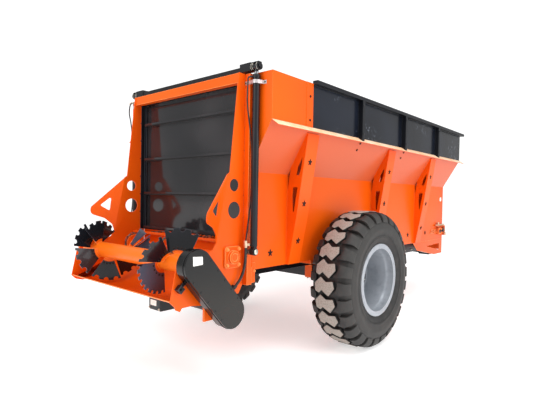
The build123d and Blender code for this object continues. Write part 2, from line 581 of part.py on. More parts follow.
def toothed_fan(half_angle, root_half, notches, radius, depth):
    """Blade with round-bottomed notches evenly spaced along its rim."""
    fan = sector(BLADE_IN_R, BLADE_R, half_angle, root_half)
    for i in range(notches):
        turn = half_angle * ((2 * i + 1) / notches - 1)
        notch = Pos(BLADE_R - depth + radius, 0, 0) * Cylinder(radius, 4 * BLADE_THICK)
        notch += Pos(BLADE_R, 0, 0) * Box(2 * (depth - radius), 2 * radius, 4 * BLADE_THICK)
        fan -= Rot(0, 0, turn) * notch
    return fan


def flight(half_angle):
    """Short piece of auger flight that carries one blade."""
    root_half = (ROTOR_TUBE_R - 6) * math.sin(math.radians(half_angle))
    return Pos(0, 0, -BLADE_THICK) * sector(ROTOR_TUBE_R - 6, FLIGHT_R, half_angle, root_half)


blades = []
for y, turn, lean, kind in BLADES:
    # Local +X points out from the shaft, local Z lies along it, tipped by the lean.
    place = Pos(ROTOR_X, y, ROTOR_Z) * Rot(0, -turn, 0) * Rot(90, 0, 0) * Rot(lean, 0, 0)
    blades.append(place * toothed_fan(*KINDS[kind]))
    drum += place * flight(KINDS[kind][0])
drum -= ring((ROTOR_X, ROTOR_Z), (-ROTOR_HALF + 12, ROTOR_HALF - 12), ROTOR_TUBE_R - ROTOR_WALL)
parts["rotor_drum"] = drum + ring((ROTOR_X, ROTOR_Z), (-ROTOR_HALF, ROTOR_HALF), SHAFT_R)
parts["rotor_blades"] = Compound(children=blades)

spacer = ring((ROTOR_X, ROTOR_Z), (-CASE_IN_Y, -LOWER_HALF), 80, SHAFT_R + RUN)
parts["rotor_bearings"] = Compound(children=[
    flange_bearing((ROTOR_X, ROTOR_Z), LOWER_HALF, 80, 50, SHAFT_R + RUN), spacer])

# ---- chain case, gearbox and driveline ---------------------------------------------------------
sprockets = ((ROTOR_X, ROTOR_Z), CASE_LOW)
case_y = (-(CASE_IN_Y + CASE_THICK), -CASE_IN_Y)
case = long_round(sprockets, case_y, CASE_R)
case -= long_round(sprockets, (case_y[0] + CASE_WALL, case_y[1] - CASE_WALL), CASE_R - CASE_WALL)
case -= ring((ROTOR_X, ROTOR_Z), (-CASE_IN_Y - CASE_WALL, -CASE_IN_Y), SHAFT_R + 6)
case -= ring(CASE_LOW, (-CASE_IN_Y - CASE_WALL, -CASE_IN_Y), SHAFT_R + 6)
parts["chain_case"] = case
parts["case_bracket"] = block((-465, -375), (-CASE_IN_Y, -LOWER_HALF), (541, 760))

# Latch of the case: a square block on its corner, on a flat arm that goes in behind the case.
LATCH = (-688, 816)
arm_y = -(LOWER_HALF + 6)
latch = Pos(LATCH[0], -(LOWER_HALF + 20), LATCH[1]) * Rot(0, 45, 0) * Box(46, 40, 46)
latch += beam((LATCH[0], arm_y, LATCH[1]), (LATCH[0] + 88, arm_y, LATCH[1] + 60), 12, 26)
parts["case_latch"] = latch

GEARBOX_X = (-372, -180)
GEARBOX_HALF = 90
GEARBOX_Z = (470, 690)
gearbox = block(GEARBOX_X, (-GEARBOX_HALF, GEARBOX_HALF), GEARBOX_Z)
gearbox = fillet(gearbox.edges(), 14)
gearbox += ring(CASE_LOW, (-GEARBOX_HALF - 40, GEARBOX_HALF + 25), 62)
gearbox += rod((GEARBOX_X[1], 0, CASE_LOW[1]), (GEARBOX_X[1] + 30, 0, CASE_LOW[1]), 55)
parts["gearbox"] = gearbox
mount = block((GEARBOX_X[0] + 20, 60), (-60, 60), (GEARBOX_Z[1], GEARBOX_Z[1] + 12))
mount += block((CROSS_X[0], CROSS_X[0] + CROSS_WIDE), (-60, 60), (GEARBOX_Z[1] + 12, RAIL_Z[1] - CROSS_TALL))
parts["gearbox_mount"] = mount
parts["cross_tube"] = ring(CASE_LOW, (-CASE_IN_Y, -GEARBOX_HALF - 40), 38, 24)

tail_joint = (GEARBOX_X[1] + 80, 0, CASE_LOW[1])
driveline = rod(tail_joint, (CARRIER_X, 0, PTO_Z), 30)
driveline += rod((GEARBOX_X[1] + 30, 0, CASE_LOW[1]), tail_joint, 26) + Pos(*tail_joint) * Sphere(36)
driveline += rod((CARRIER_X, 0, PTO_Z), (CROSS_X[-1], 0, PTO_Z), 30)
driveline += Pos(CARRIER_X, 0, PTO_Z) * Sphere(38)
driveline += rod((CROSS_X[-1], 0, PTO_Z), (BODY_LENGTH + 20, 0, PTO_Z), SHAFT_R)
parts["driveline"] = driveline + rod((BODY_LENGTH + 20, 0, PTO_Z), (BODY_LENGTH + 100, 0, PTO_Z), PTO_R)

# ---- axle and wheels ---------------------------------------------------------------------------
AXLE_END = DISC_Y - 125
SPINDLE_END = DISC_Y + 95
axle = block((AXLE_X - AXLE_HALF, AXLE_X + AXLE_HALF), (-AXLE_END, AXLE_END),
             (WHEEL_R - AXLE_HALF, WHEEL_R + AXLE_HALF))
for side in SIDES.values():
    axle += mirrored(ring((AXLE_X, WHEEL_R), (AXLE_END, SPINDLE_END), SPINDLE_R), side)
parts["axle"] = axle

saddle = block((AXLE_X - 90, AXLE_X + 90), (RAIL_IN - 5, RAIL_OUT + 5), (WHEEL_R + AXLE_HALF, RAIL_Z[0]))
for x in (AXLE_X - AXLE_HALF - 16, AXLE_X + AXLE_HALF):
    saddle += block((x, x + 16), (RAIL_IN - 5, RAIL_OUT + 5), (WHEEL_R - AXLE_HALF - 10, RAIL_Z[0]))
pair("axle_saddles", saddle)


def turned(profile):
    """Solid of revolution about the wheel axle; the profile is (radius, y)."""
    points = [(AXLE_X, y, WHEEL_R + radius) for radius, y in profile]
    outline = Polyline(*points, close=True)
    return revolve(make_face(outline), Axis((AXLE_X, 0, WHEEL_R), (0, 1, 0)), 360)


BEAD_HALF = RIM_HALF - 14
TYRE_WALL = 28
tyre_line = [               # (radius, y from the tyre's middle): outside from bead to bead, then inside
    (RIM_SEAT_R, -BEAD_HALF), (RIM_FLANGE_R + 2, -BEAD_HALF), (RIM_FLANGE_R + 16, -BEAD_HALF - 18),
    (510, -TYRE_HALF), (600, -TYRE_HALF + 8),
    (WHEEL_R - 8, -TYRE_HALF + 24), (WHEEL_R, -150), (WHEEL_R, 150), (WHEEL_R - 8, TYRE_HALF - 24),
    (600, TYRE_HALF - 8), (510, TYRE_HALF), (RIM_FLANGE_R + 16, BEAD_HALF + 18),
    (RIM_FLANGE_R + 2, BEAD_HALF), (RIM_SEAT_R, BEAD_HALF),
    (RIM_SEAT_R, BEAD_HALF - 30), (510, TYRE_HALF - TYRE_WALL), (600, TYRE_HALF - TYRE_WALL - 14),
    (600, -TYRE_HALF + TYRE_WALL + 14), (510, -TYRE_HALF + TYRE_WALL), (RIM_SEAT_R, -BEAD_HALF + 30),
]
twins("tyre", turned([(radius, HALF_TRACK + y) for radius, y in tyre_line]))

RIM_WALL = 9
rim_line = [                # (radius, y): flange, bead seat and well outside, then back inside
    (RIM_FLANGE_R, HALF_TRACK + RIM_HALF), (RIM_FLANGE_R, HALF_TRACK + BEAD_HALF + 1),
    (RIM_SEAT_R - 0.3, HALF_TRACK + BEAD_HALF + 1), (RIM_SEAT_R - 0.3, HALF_TRACK - BEAD_HALF - 1),
    (RIM_FLANGE_R, HALF_TRACK - BEAD_HALF - 1), (RIM_FLANGE_R, HALF_TRACK - RIM_HALF),
    (RIM_SEAT_R - RIM_WALL, HALF_TRACK - RIM_HALF), (RIM_SEAT_R - RIM_WALL - 14, HALF_TRACK - 120),
    (RIM_SEAT_R - RIM_WALL - 14, HALF_TRACK + 100), (RIM_SEAT_R - RIM_WALL, HALF_TRACK + 130),
    (RIM_SEAT_R - RIM_WALL, HALF_TRACK + RIM_HALF),
]
DISC_THICK = 14
rim = turned(rim_line)
rim += ring((AXLE_X, WHEEL_R), (DISC_Y, DISC_Y + DISC_THICK), RIM_SEAT_R - RIM_WALL - 10, HUB_R + 0.5)

HUB_FLANGE_R = 190
hub = ring((AXLE_X, WHEEL_R), (DISC_Y - 100, DISC_Y + 95), HUB_R)
hub += ring((AXLE_X, WHEEL_R), (DISC_Y + 95, DISC_Y + 117), HUB_R - 22)
hub += ring((AXLE_X, WHEEL_R), (DISC_Y - 22, DISC_Y), HUB_FLANGE_R)
for i in range(WHEEL_BOLTS):
    turn = math.tau * i / WHEEL_BOLTS
    bolt = (AXLE_X + BOLT_CIRCLE_R * math.cos(turn), WHEEL_R + BOLT_CIRCLE_R * math.sin(turn))
    hub += ring(bolt, (DISC_Y + DISC_THICK, DISC_Y + DISC_THICK + 22), 16)
    hub += ring(bolt, (DISC_Y - 22, DISC_Y + DISC_THICK), 10)
    rim -= ring(bolt, (DISC_Y, DISC_Y + DISC_THICK), 10.5)
twins("rim", rim)
hub -= ring((AXLE_X, WHEEL_R), (DISC_Y - 100, SPINDLE_END + 0.5), SPINDLE_R + RUN)
twins("hub", hub)

# ---- drawbar and jack --------------------------------------------------------------------------
head = block(NOSE_X, (-100, 100), (HITCH_Z - 40, HITCH_Z + 85))
leg = beam((BODY_LENGTH - 60, 420, SHOE_Z + 35), (NOSE_X[0] + 60, 60, HITCH_Z + 30), LEG_WIDE, LEG_TALL)
BEAM_TAIL_X = BODY_LENGTH - 1000
leg -= block((BEAM_TAIL_X, BODY_LENGTH), (0, 600), (RAIL_Z[0], 1000))
leg -= block(NOSE_X, (-100, 100), (0, 1000)) + block((BEAM_TAIL_X, NOSE_X[1]), (-200, 0), (0, 1000))
leg -= block((BEAM_TAIL_X, BODY_LENGTH), (0, RAIL_IN), (PTO_Z - 45, 1000))
leg += block((BEAM_TAIL_X, BODY_LENGTH), (RAIL_IN, RAIL_OUT), (SHOE_Z, RAIL_Z[0]))
pair("drawbar_beams", leg)
tie = block((BODY_LENGTH + 300, BODY_LENGTH + 360), (-300, 300), (SHOE_Z - 50, SHOE_Z + 10))
tie -= leg + mirrored(leg, -1)
parts["drawbar_head"] = Compound(children=[head, max(tie.solids(), key=lambda solid: solid.volume)])

eye_piece = rod((NOSE_X[1], 0, HITCH_Z), (HITCH_X - 40, 0, HITCH_Z), 34)
eye_piece += block((NOSE_X[1], NOSE_X[1] + 15), (-70, 70), (HITCH_Z - 35, HITCH_Z + 75))
eye_piece += rod((HITCH_X, 0, HITCH_Z - EYE_THICK / 2), (HITCH_X, 0, HITCH_Z + EYE_THICK / 2), EYE_R)
parts["hitch_eye"] = eye_piece - rod((HITCH_X, 0, HITCH_Z - 50), (HITCH_X, 0, HITCH_Z + 50), EYE_BORE_R)

JACK_Z = (420, 1000)
half_tube = JACK_TUBE / 2
half_bore = JACK_LEG / 2 + JACK_GAP


def square_tube(half, z):
    """Upright square bar centred on the jack."""
    return block((JACK_X - half, JACK_X + half), (JACK_Y - half, JACK_Y + half), z)


bracket = block((JACK_X - half_tube, JACK_X + half_tube), (0, JACK_Y - half_tube), (580, 650)) - leg
jack_tube = square_tube(half_tube, JACK_Z) + bracket.solids().sort_by(Axis.Y)[-1]
jack_tube -= square_tube(half_bore, (JACK_Z[0], JACK_Z[1] - 12))
crank = (JACK_X, JACK_Y + half_tube + 60, JACK_Z[1] - 60)
jack_tube += rod((JACK_X, JACK_Y + half_tube, crank[2]), crank, 12)
jack_tube += rod(crank, (JACK_X - 150, *crank[1:]), 10)
parts["jack_tube"] = jack_tube
jack_leg = square_tube(JACK_LEG / 2, (12, 600))
jack_leg += rod((JACK_X, JACK_Y, 0), (JACK_X, JACK_Y, 12), 110)
parts["jack_leg"] = jack_leg

# ---- write -------------------------------------------------------------------------------------
os.makedirs("parts", exist_ok=True)
boxes = [shape.bounding_box() for shape in parts.values()]
shift = -(min(box.min.X for box in boxes) + max(box.max.X for box in boxes)) / 2
for name, shape in parts.items():
    export_step(Pos(shift, 0, 0) * shape, f"parts/{name}.step")
print(f"{len(parts)} pieces, moved {shift:.3f} mm along X")
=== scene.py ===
# %% [markdown]
# # A rear-discharge manure spreader
#
# The machine is a long orange box on one axle. A floor conveyor pushes the load to the
# back, a black tailgate holds it in, and a toothed rotor throws it out. The measured
# frame comes first: every joint and every piece of steel stands where the frame says.
# Blender then adds the paint, the rubber tread, the bolts, chains and hoses.

# %% Load the frame
import json
import math

import bmesh
import bpy
from mathutils import Matrix, Vector

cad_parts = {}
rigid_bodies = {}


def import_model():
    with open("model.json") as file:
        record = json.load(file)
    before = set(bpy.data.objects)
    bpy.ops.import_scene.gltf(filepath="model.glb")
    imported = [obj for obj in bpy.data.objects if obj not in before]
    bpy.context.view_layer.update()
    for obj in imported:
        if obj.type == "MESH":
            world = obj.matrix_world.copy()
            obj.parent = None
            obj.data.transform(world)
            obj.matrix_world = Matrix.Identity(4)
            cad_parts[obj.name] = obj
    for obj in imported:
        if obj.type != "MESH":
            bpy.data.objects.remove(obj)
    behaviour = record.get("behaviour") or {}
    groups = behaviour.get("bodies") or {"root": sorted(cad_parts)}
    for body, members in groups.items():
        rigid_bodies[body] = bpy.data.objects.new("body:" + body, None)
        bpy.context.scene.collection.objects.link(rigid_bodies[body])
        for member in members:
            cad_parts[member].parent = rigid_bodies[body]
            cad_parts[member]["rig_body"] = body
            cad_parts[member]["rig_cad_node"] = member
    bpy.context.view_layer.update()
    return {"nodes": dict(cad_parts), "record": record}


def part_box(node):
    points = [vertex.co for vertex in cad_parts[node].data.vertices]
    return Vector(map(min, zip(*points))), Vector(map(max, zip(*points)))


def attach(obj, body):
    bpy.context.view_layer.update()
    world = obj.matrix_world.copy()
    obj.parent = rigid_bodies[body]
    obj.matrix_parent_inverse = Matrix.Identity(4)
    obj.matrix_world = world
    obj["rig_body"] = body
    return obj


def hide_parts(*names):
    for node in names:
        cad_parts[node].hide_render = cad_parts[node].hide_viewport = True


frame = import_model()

nodes = frame["nodes"]
bodies = frame["record"]["behaviour"]["bodies"]
body_of_node = {node: body for body, members in bodies.items() for node in members}

# %% [markdown]
# ## Places
#
# Lengths on this machine are easiest to count from the plane of the tailgate, as its
# drawing does. The frame's origin lies under the middle of the machine instead, so one
# offset, read from the tailgate itself, turns a drawing place into a frame place.

# %% Drawing places
MM = 0.001
GATE_PLATE_FRONT = 10 * MM
tail_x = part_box("tailgate")[1].x - GATE_PLATE_FRONT


def place(x, y, z):
    """A point given in drawing millimetres, as a point of the frame in metres."""
    return Vector((tail_x + x * MM, y * MM, z * MM))


SIDES = {"left": 1, "right": -1}
print("tailgate plane at x =", round(tail_x, 4))

# %% [markdown]
# ## Shader maths as plain sums
#
# A material is a small graph of nodes. Wiring it by hand hides the idea, so one class
# wraps a socket and lets masks and patterns be written as ordinary sums. The Finish
# class adds any other node, and hands the results to the shader at the end.

# %% A socket that can be added and multiplied
class Value:
    def __init__(self, finish, socket):
        self.finish = finish
        self.socket = socket

    def maths(self, operation, first, second=None):
        sockets = {0: first} if second is None else {0: first, 1: second}
        return self.finish.node("ShaderNodeMath", {"operation": operation}, sockets)

    def __add__(self, other):
        return self.maths("ADD", self, other)

    def __sub__(self, other):
        return self.maths("SUBTRACT", self, other)

    def __mul__(self, other):
        return self.maths("MULTIPLY", self, other)

    def __pow__(self, other):
        return self.maths("POWER", self, other)

    def __rsub__(self, other):
        return self.maths("SUBTRACT", other, self)

    __radd__ = __add__
    __rmul__ = __mul__

    def root(self):
        return self.maths("SQRT", self)

    def size(self):
        return self.maths("ABSOLUTE", self)


# %% A finish is one material under construction
class Finish:
    def __init__(self, name):
        self.material = bpy.data.materials.new(name)
        self.material.use_nodes = True
        self.tree = self.material.node_tree
        self.tree.nodes.clear()
        self.shader = self.tree.nodes.new("ShaderNodeBsdfPrincipled")
        output = self.tree.nodes.new("ShaderNodeOutputMaterial")
        self.tree.links.new(self.shader.outputs[0], output.inputs[0])

    def node(self, kind, settings=None, sockets=None, result=0):
        """Any node: settings are set first, then its sockets get values or links."""
        node = self.tree.nodes.new(kind)
        for key, value in (settings or {}).items():
            setattr(node, key, value)
        for key, value in (sockets or {}).items():
            self.feed(node.inputs[key], value)
        return Value(self, node.outputs[result])

    def feed(self, socket, value):
        if isinstance(value, Value):
            self.tree.links.new(value.socket, socket)
        elif isinstance(value, tuple) and len(value) == 3 and socket.type == "RGBA":
            socket.default_value = (*value, 1)
        else:
            socket.default_value = value

    def look(self, **sockets):
        """Hand the results to the shader, whose sockets are named with underscores."""
        for key, value in sockets.items():
            self.feed(self.shader.inputs[key.replace("_", " ")], value)
        return self.material

    def coordinates(self):
        return self.node("ShaderNodeTexCoord", result="Object")

    def axes(self, vector=None):
        """The three parts of a vector, each as a value."""
        vector = vector or self.coordinates()
        x = self.node("ShaderNodeSeparateXYZ", sockets={0: vector})
        node = x.socket.node
        return tuple(Value(self, node.outputs[i]) for i in range(3))

    def noise(self, scale, detail=2, rough=0.5):
        sockets = {"Vector": self.coordinates(), "Scale": scale, "Detail": detail,
                   "Roughness": rough}
        return self.node("ShaderNodeTexNoise", sockets=sockets)

    def between(self, value, low, high):
        """0 below low, 1 above high, smooth in between."""
        sockets = {"Value": value, 1: low, 2: high}
        settings = {"interpolation_type": "SMOOTHSTEP"}
        return self.node("ShaderNodeMapRange", settings, sockets)

    def blend(self, mask, first, second):
        sockets = {0: mask, 6: first, 7: second}
        return self.node("ShaderNodeMix", {"data_type": "RGBA"}, sockets, result=2)

    def bump(self, height, distance, strength=1.0):
        sockets = {"Height": height, "Distance": distance, "Strength": strength}
        return self.node("ShaderNodeBump", sockets=sockets)


print("shader maths ready")


# %% [markdown]
# ## Colours
#
# Paint charts give colours as the eye sees them, in steps from 0 to 255. The renderer
# wants linear light, so one small function converts them.

# %% Chart colours
def chart(red, green, blue):
    """A colour chart's 0 to 255 numbers as linear light."""
    linear = []
    for part in (red, green, blue):
        part = part / 255
        linear.append(part / 12.92 if part <= 0.04045 else ((part + 0.055) / 1.055) ** 2.4)
    return tuple(linear)


ORANGE = chart(240, 94, 6)
ORANGE_DEEP = chart(234, 84, 6)
BLACK = chart(13, 14, 18)
print("orange is", [round(part, 3) for part in ORANGE])


# %% [markdown]
# ## Paint
#
# The box is sprayed with a thick two-coat paint: a saturated orange under a clear,
# glossy top. Real spray paint is never flat. It has a fine ripple, called orange peel,
# and the colour drifts a little from panel to panel. Both come from noise patterns on
# object coordinates, so they have one scale over the whole machine.

# %% Orange paint
def orange_paint(name="orange_paint", first=ORANGE, second=ORANGE_DEEP, sheen_top=False,
                 floor_reflection_below=False):
    """Glossy orange. One option paints a pale, streaked sheen of the sky on what faces up,
    and the other paints a salmon reflection of the pale floor on what faces down."""
    finish = Finish(name)
    drift = finish.noise(0.9, detail=1)
    colour = finish.blend(finish.between(drift, 0.35, 0.65), first, second)
    facing = finish.axes(finish.node("ShaderNodeNewGeometry", result="Normal"))[2]
    # Painted reflection of the pale floor on what faces down.
    if floor_reflection_below:
        under = finish.between(-1 * facing, 0.25, 0.48)
        colour = finish.blend(under, colour, chart(210, 96, 56))
    # Painted sheen of the sky on what faces up, pale and streaked.
    if sheen_top:
        streak = finish.between(finish.noise(6, detail=4, rough=0.7), 0.3, 0.7)
        pale = finish.blend(streak, chart(255, 226, 196), chart(255, 196, 146))
        colour = finish.blend(finish.between(facing, 0.1, 0.5), colour, pale)
    dust = finish.between(finish.noise(38, detail=4, rough=0.6), 0.52, 0.8)
    peel = finish.noise(210, detail=1)
    ripple = finish.noise(9, detail=2)
    normal = finish.bump(peel * 0.25 + ripple, 0.0016, strength=0.22)
    return finish.look(Base_Color=colour, Roughness=0.34 + dust * 0.1, Normal=normal,
                       Specular_IOR_Level=0.2, Coat_Weight=0.05, Coat_Roughness=0.1)


orange = orange_paint()
# A paler orange for bevels and bolt heads: a painted highlight.
orange_highlight = orange_paint("orange_highlight", chart(255, 168, 96), chart(255, 146, 74))
# The ledges carry the painted sheen on top, and the walls the painted floor reflection below.
orange_ledge = orange_paint("orange_ledge", sheen_top=True)
orange_wall = orange_paint("orange_wall", chart(236, 93, 4), chart(230, 84, 4), floor_reflection_below=True)
orange_drum = orange_paint("orange_drum", chart(248, 120, 30), chart(242, 108, 18))
print("made five oranges")

# %% [markdown]
# The gate, the extension and the chain case are black. Their gloss is what shows: a
# smooth sheet mirrors the posts beside it. So the noise in it is wide and weak, and the rest
# is laid on by masks: scuffs on the panels, the case paler towards the bottom, and a painted blue-grey
# reflection of the sky on stretches of the blades.


# %% Black paint
def black_paint(name, roughness, coat, first=BLACK, second=chart(24, 26, 32), cloud_size=1.6,
                rails=None, paler_below=None, sky_reflection=()):
    """Glossy black steel. Rails is how far from the middle a duller rail begins, with scuffed
    panels inside it. A pair of heights turns the black paler, a warm grey, low down, fading
    out between them, and a list of stretches across the machine gets a painted blue-grey reflection of
    the sky."""
    finish = Finish(name)
    cloud = finish.between(finish.noise(cloud_size, detail=2), 0.35, 0.65)
    if rails:
        scuff = finish.between(finish.noise(30, detail=5, rough=0.75), 0.56, 0.62)
        scuff = scuff * finish.between(finish.noise(2.6, detail=1), 0.56, 0.66)
        on_rail = finish.between(finish.axes()[1].size(), rails, rails + 2 * MM)
        cloud = cloud * (1 - on_rail)
        roughness = roughness + on_rail * 0.2
    # Paler towards the bottom, fading out between the two heights.
    if paler_below:
        cloud = (1 - finish.between(finish.axes()[2], *paler_below)) * 0.8 + cloud * 0.2
    shade = finish.blend(cloud, first, second)
    if rails:
        shade = finish.blend(scuff * (1 - on_rail), shade, chart(84, 90, 100))
    # Painted reflection of the sky: blue grey across the given stretches.
    for low, high in sky_reflection:
        across = finish.axes()[1]
        reflected = finish.between(across, low * MM, (low + 4) * MM)
        reflected = reflected * (1 - finish.between(across, (high - 4) * MM, high * MM))
        shade = finish.blend(reflected, shade, chart(74, 84, 100))
    dust = finish.between(finish.noise(46, detail=4, rough=0.65), 0.5, 0.85)
    normal = finish.bump(finish.noise(3.2, detail=1), 0.004, strength=0.3)
    return finish.look(Base_Color=shade, Roughness=roughness + dust * 0.06, Normal=normal,
                       Specular_IOR_Level=0.32, Coat_Weight=coat, Coat_Roughness=0.05)


gate_black = black_paint("gate_black", 0.12, 0.3, chart(20, 20, 24), chart(52, 50, 52), 0.9)
panel_black = black_paint("panel_black", 0.2, 0.0, chart(11, 14, 21), chart(23, 28, 39), 1.1,
                          rails=991 * MM)
case_black = black_paint("case_black", 0.22, 0.06, chart(5, 6, 7), chart(34, 32, 28),
                         paler_below=(0.62, 1.02))
# Two stretches of the blades carry a painted blue-grey reflection of the sky.
blade_black = black_paint("blade_black", 0.16, 0.3, sky_reflection=((-498, -398), (20, 170)))
frame_black = black_paint("frame_black", 0.34, 0.08)
rail_black = black_paint("rail_black", 0.4, 0.0, chart(8, 9, 12), chart(16, 18, 22))
# Near-black for the painted shadow under the gate's stiffeners.
gate_shadow_black = black_paint("gate_shadow_black", 0.6, 0.0, chart(3, 3, 4), chart(6, 6, 8))
# A dark red for open holes, plugs and bolt ends: painted shade inside a hole.
hole_shade = black_paint("hole_shade", 0.7, 0.0, chart(30, 12, 8), chart(18, 9, 8))
# A light grey-blue for the bevels of black parts: a painted highlight along the edges.
black_highlight = black_paint("black_highlight", 0.3, 0.1, chart(70, 75, 84), chart(50, 55, 64))
print("made nine blacks")


# %% [markdown]
# ## Bare and plated metal
#
# Piston rods are hard chrome, hose ends and bolts are zinc plated, and the rims have a
# silver paint. All are metals with a different roughness and a little staining.

# %% Metals
def plated_metal(name, colour, stain, roughness, metallic=1.0, grain=60, painted_above=None):
    """A metal with cloudy stains. Above a height it can be painted black."""
    finish = Finish(name)
    cloud = finish.between(finish.noise(grain, detail=5, rough=0.62), 0.4, 0.75)
    scuff = finish.noise(grain * 9, detail=2)
    shade = finish.blend(cloud, colour, stain)
    if painted_above:
        paint = finish.between(finish.axes()[2], painted_above, painted_above + 2 * MM)
        shade = finish.blend(paint, shade, BLACK)
        metallic = 1 - paint
    return finish.look(Base_Color=shade, Metallic=metallic,
                       Roughness=roughness + cloud * 0.14,
                       Normal=finish.bump(scuff, 0.0006, strength=0.2))


rod_chrome = plated_metal("rod_chrome", chart(150, 152, 156), chart(120, 123, 128), 0.16,
                          painted_above=2.452)
zinc = plated_metal("zinc_plate", chart(214, 210, 198), chart(168, 160, 140), 0.28)
silver = plated_metal("silver_paint", chart(164, 169, 176), chart(146, 152, 160), 0.4, 0.25, 12)
# A brighter silver for the rim's bevels: a painted highlight on the flange edges.
silver_highlight = plated_metal("silver_highlight", chart(206, 208, 210), chart(186, 188, 190), 0.35, 0.2, 20)
clamp_steel = plated_metal("clamp_steel", chart(206, 200, 202), chart(176, 168, 164), 0.3, 0.5)
brass = plated_metal("yellow_zinc", chart(224, 200, 172), chart(196, 164, 128), 0.3, 0.6)
service_steel = plated_metal("service_steel", chart(240, 128, 66), chart(150, 58, 28), 0.4, 0.15, 40)
chain_steel = plated_metal("chain_steel", chart(120, 112, 104), chart(86, 70, 58), 0.45, 0.8, 40)
print("made eight metals")


# %% [markdown]
# ## Rubber and hose
#
# Tread rubber is dark grey. The flat crowns of the lugs have been ground and dusted,
# so they are much paler, a beige that fades at the edge of the lug. The mask is the
# distance from the axle, which is the same at every turn of the wheel.

# %% Rubber
wheel_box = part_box("tyre_left")
wheel_x = (wheel_box[0].x + wheel_box[1].x) / 2
wheel_z = (wheel_box[0].z + wheel_box[1].z) / 2
WHEEL_R = (wheel_box[1].x - wheel_box[0].x) / 2
TYRE_MIDDLE = (wheel_box[0].y + wheel_box[1].y) / 2


def tyre_rubber():
    """Reach is the distance from the axle, across the distance from the tread's middle."""
    finish = Finish("tyre_rubber")
    x, y, z = finish.axes()
    reach = ((x - wheel_x) ** 2 + (z - wheel_z) ** 2).root()
    across = (y.size() - TYRE_MIDDLE).size()
    dust = finish.noise(9, detail=5, rough=0.7)
    crown = finish.between(reach + dust * 0.004, WHEEL_R - 0.0035, WHEEL_R - 0.001)
    crown = crown * (1 - finish.between(across + dust * 0.02, 0.118, 0.126))
    fine = finish.noise(85, detail=4, rough=0.6)
    shoulder = finish.between(finish.noise(14, detail=4), 0.4, 0.75)
    dark = finish.blend(shoulder, chart(22, 22, 23), chart(42, 40, 38))
    wall = finish.between(reach, 0.36, 0.52) * finish.between(across, 0.1, 0.2)
    dark = finish.blend(wall * 0.4, dark, chart(62, 60, 57))
    pale = finish.blend(finish.between(fine, 0.35, 0.7), chart(162, 154, 146), chart(138, 130, 122))
    lines = finish.node("ShaderNodeTexWave", {"wave_type": "BANDS"},
                        {"Vector": finish.node("ShaderNodeCombineXYZ", sockets={0: reach}),
                         "Scale": 24.0, "Distortion": 0.0})
    on_wall = 1 - finish.between(reach, 0.55, 0.6)
    height = fine * 0.3 + lines * on_wall * 0.5
    return finish.look(Base_Color=finish.blend(crown, dark, pale), Roughness=0.62 + crown * 0.25,
                       Normal=finish.bump(height, 0.002, strength=0.4), Coat_Weight=0.0)


rubber = tyre_rubber()
print("wheel radius", round(WHEEL_R, 3))

# %% [markdown]
# A hose has a woven cover, so its bump is very fine. The blank plates are white film,
# almost flat, with a faint yellowing.


# %% Hose and white film
def hose_rubber():
    finish = Finish("hose_rubber")
    cloth = finish.noise(320, detail=2)
    cloud = finish.between(finish.noise(24, detail=3), 0.35, 0.7)
    colour = finish.blend(cloud, chart(24, 24, 26), chart(44, 42, 42))
    return finish.look(Base_Color=colour, Roughness=0.48,
                       Normal=finish.bump(cloth, 0.0008, strength=0.5))


def blank_film():
    finish = Finish("blank_white")
    cloud = finish.between(finish.noise(60, detail=3), 0.35, 0.7)
    colour = finish.blend(cloud, chart(246, 246, 240), chart(234, 232, 222))
    return finish.look(Base_Color=colour, Roughness=0.35 + cloud * 0.1,
                       Normal=finish.bump(cloud, 0.0004, strength=0.2))


blank_white = blank_film()
hose_black = hose_rubber()
print("made", hose_black.name, "and", blank_white.name)

# %% [markdown]
# ## Rounded steel
#
# A knife-sharp edge never shows a highlight, and that alone makes a model look false.
# Each steel piece is copied, its loose triangles are merged into faces, and its edges
# get a narrow bevel in an edge paint: a paler one is a painted highlight, a darker one
# a painted shade line. The copy then stands for the plain piece.


# %% Copies with soft edges
FOLD = math.radians(27)     # a turn sharper than this shows as a fold
SHARP = math.radians(40)    # a turn sharper than this gets a bevel
FLAT = math.radians(0.6)    # triangles within this are one face
MERGE = 0.00002             # corners nearer than this, in metres, are one corner


def only(piece):
    """Select one object and nothing else."""
    bpy.ops.object.select_all(action="DESELECT")
    piece.select_set(True)
    bpy.context.view_layer.objects.active = piece


def softened(node, width, material, edge_material):
    """A copy of a steel piece with small round edges, riding on the same body."""
    piece = nodes[node].copy()
    piece.data = nodes[node].data.copy()
    piece.parent = None
    piece.matrix_world = Matrix.Identity(4)
    piece.name = node + "_finished"
    bpy.context.scene.collection.objects.link(piece)
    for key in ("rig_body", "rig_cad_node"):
        if key in piece:
            del piece[key]
    only(piece)
    bpy.ops.object.mode_set(mode="EDIT")
    bpy.ops.mesh.customdata_custom_splitnormals_clear()
    bpy.ops.mesh.select_all(action="SELECT")
    bpy.ops.mesh.remove_doubles(threshold=MERGE)
    bpy.ops.mesh.dissolve_limited(angle_limit=FLAT)
    bpy.ops.object.mode_set(mode="OBJECT")
    piece.data.materials.clear()
    for paint in (material, edge_material):
        piece.data.materials.append(paint)
    bpy.ops.object.shade_smooth_by_angle(angle=FOLD)
    bevel = piece.modifiers.new("round edges", "BEVEL")
    bevel.width = width
    bevel.segments = 2
    bevel.limit_method = "ANGLE"
    bevel.angle_limit = SHARP
    bevel.use_clamp_overlap = True
    bevel.harden_normals = True
    # The bevel's faces take the edge paint: a painted highlight where it is paler, a painted shade
    # line where it is darker.
    bevel.material = 1
    bpy.ops.object.modifier_apply(modifier=bevel.name)
    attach(piece, body_of_node[node])
    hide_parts(node)
    return piece


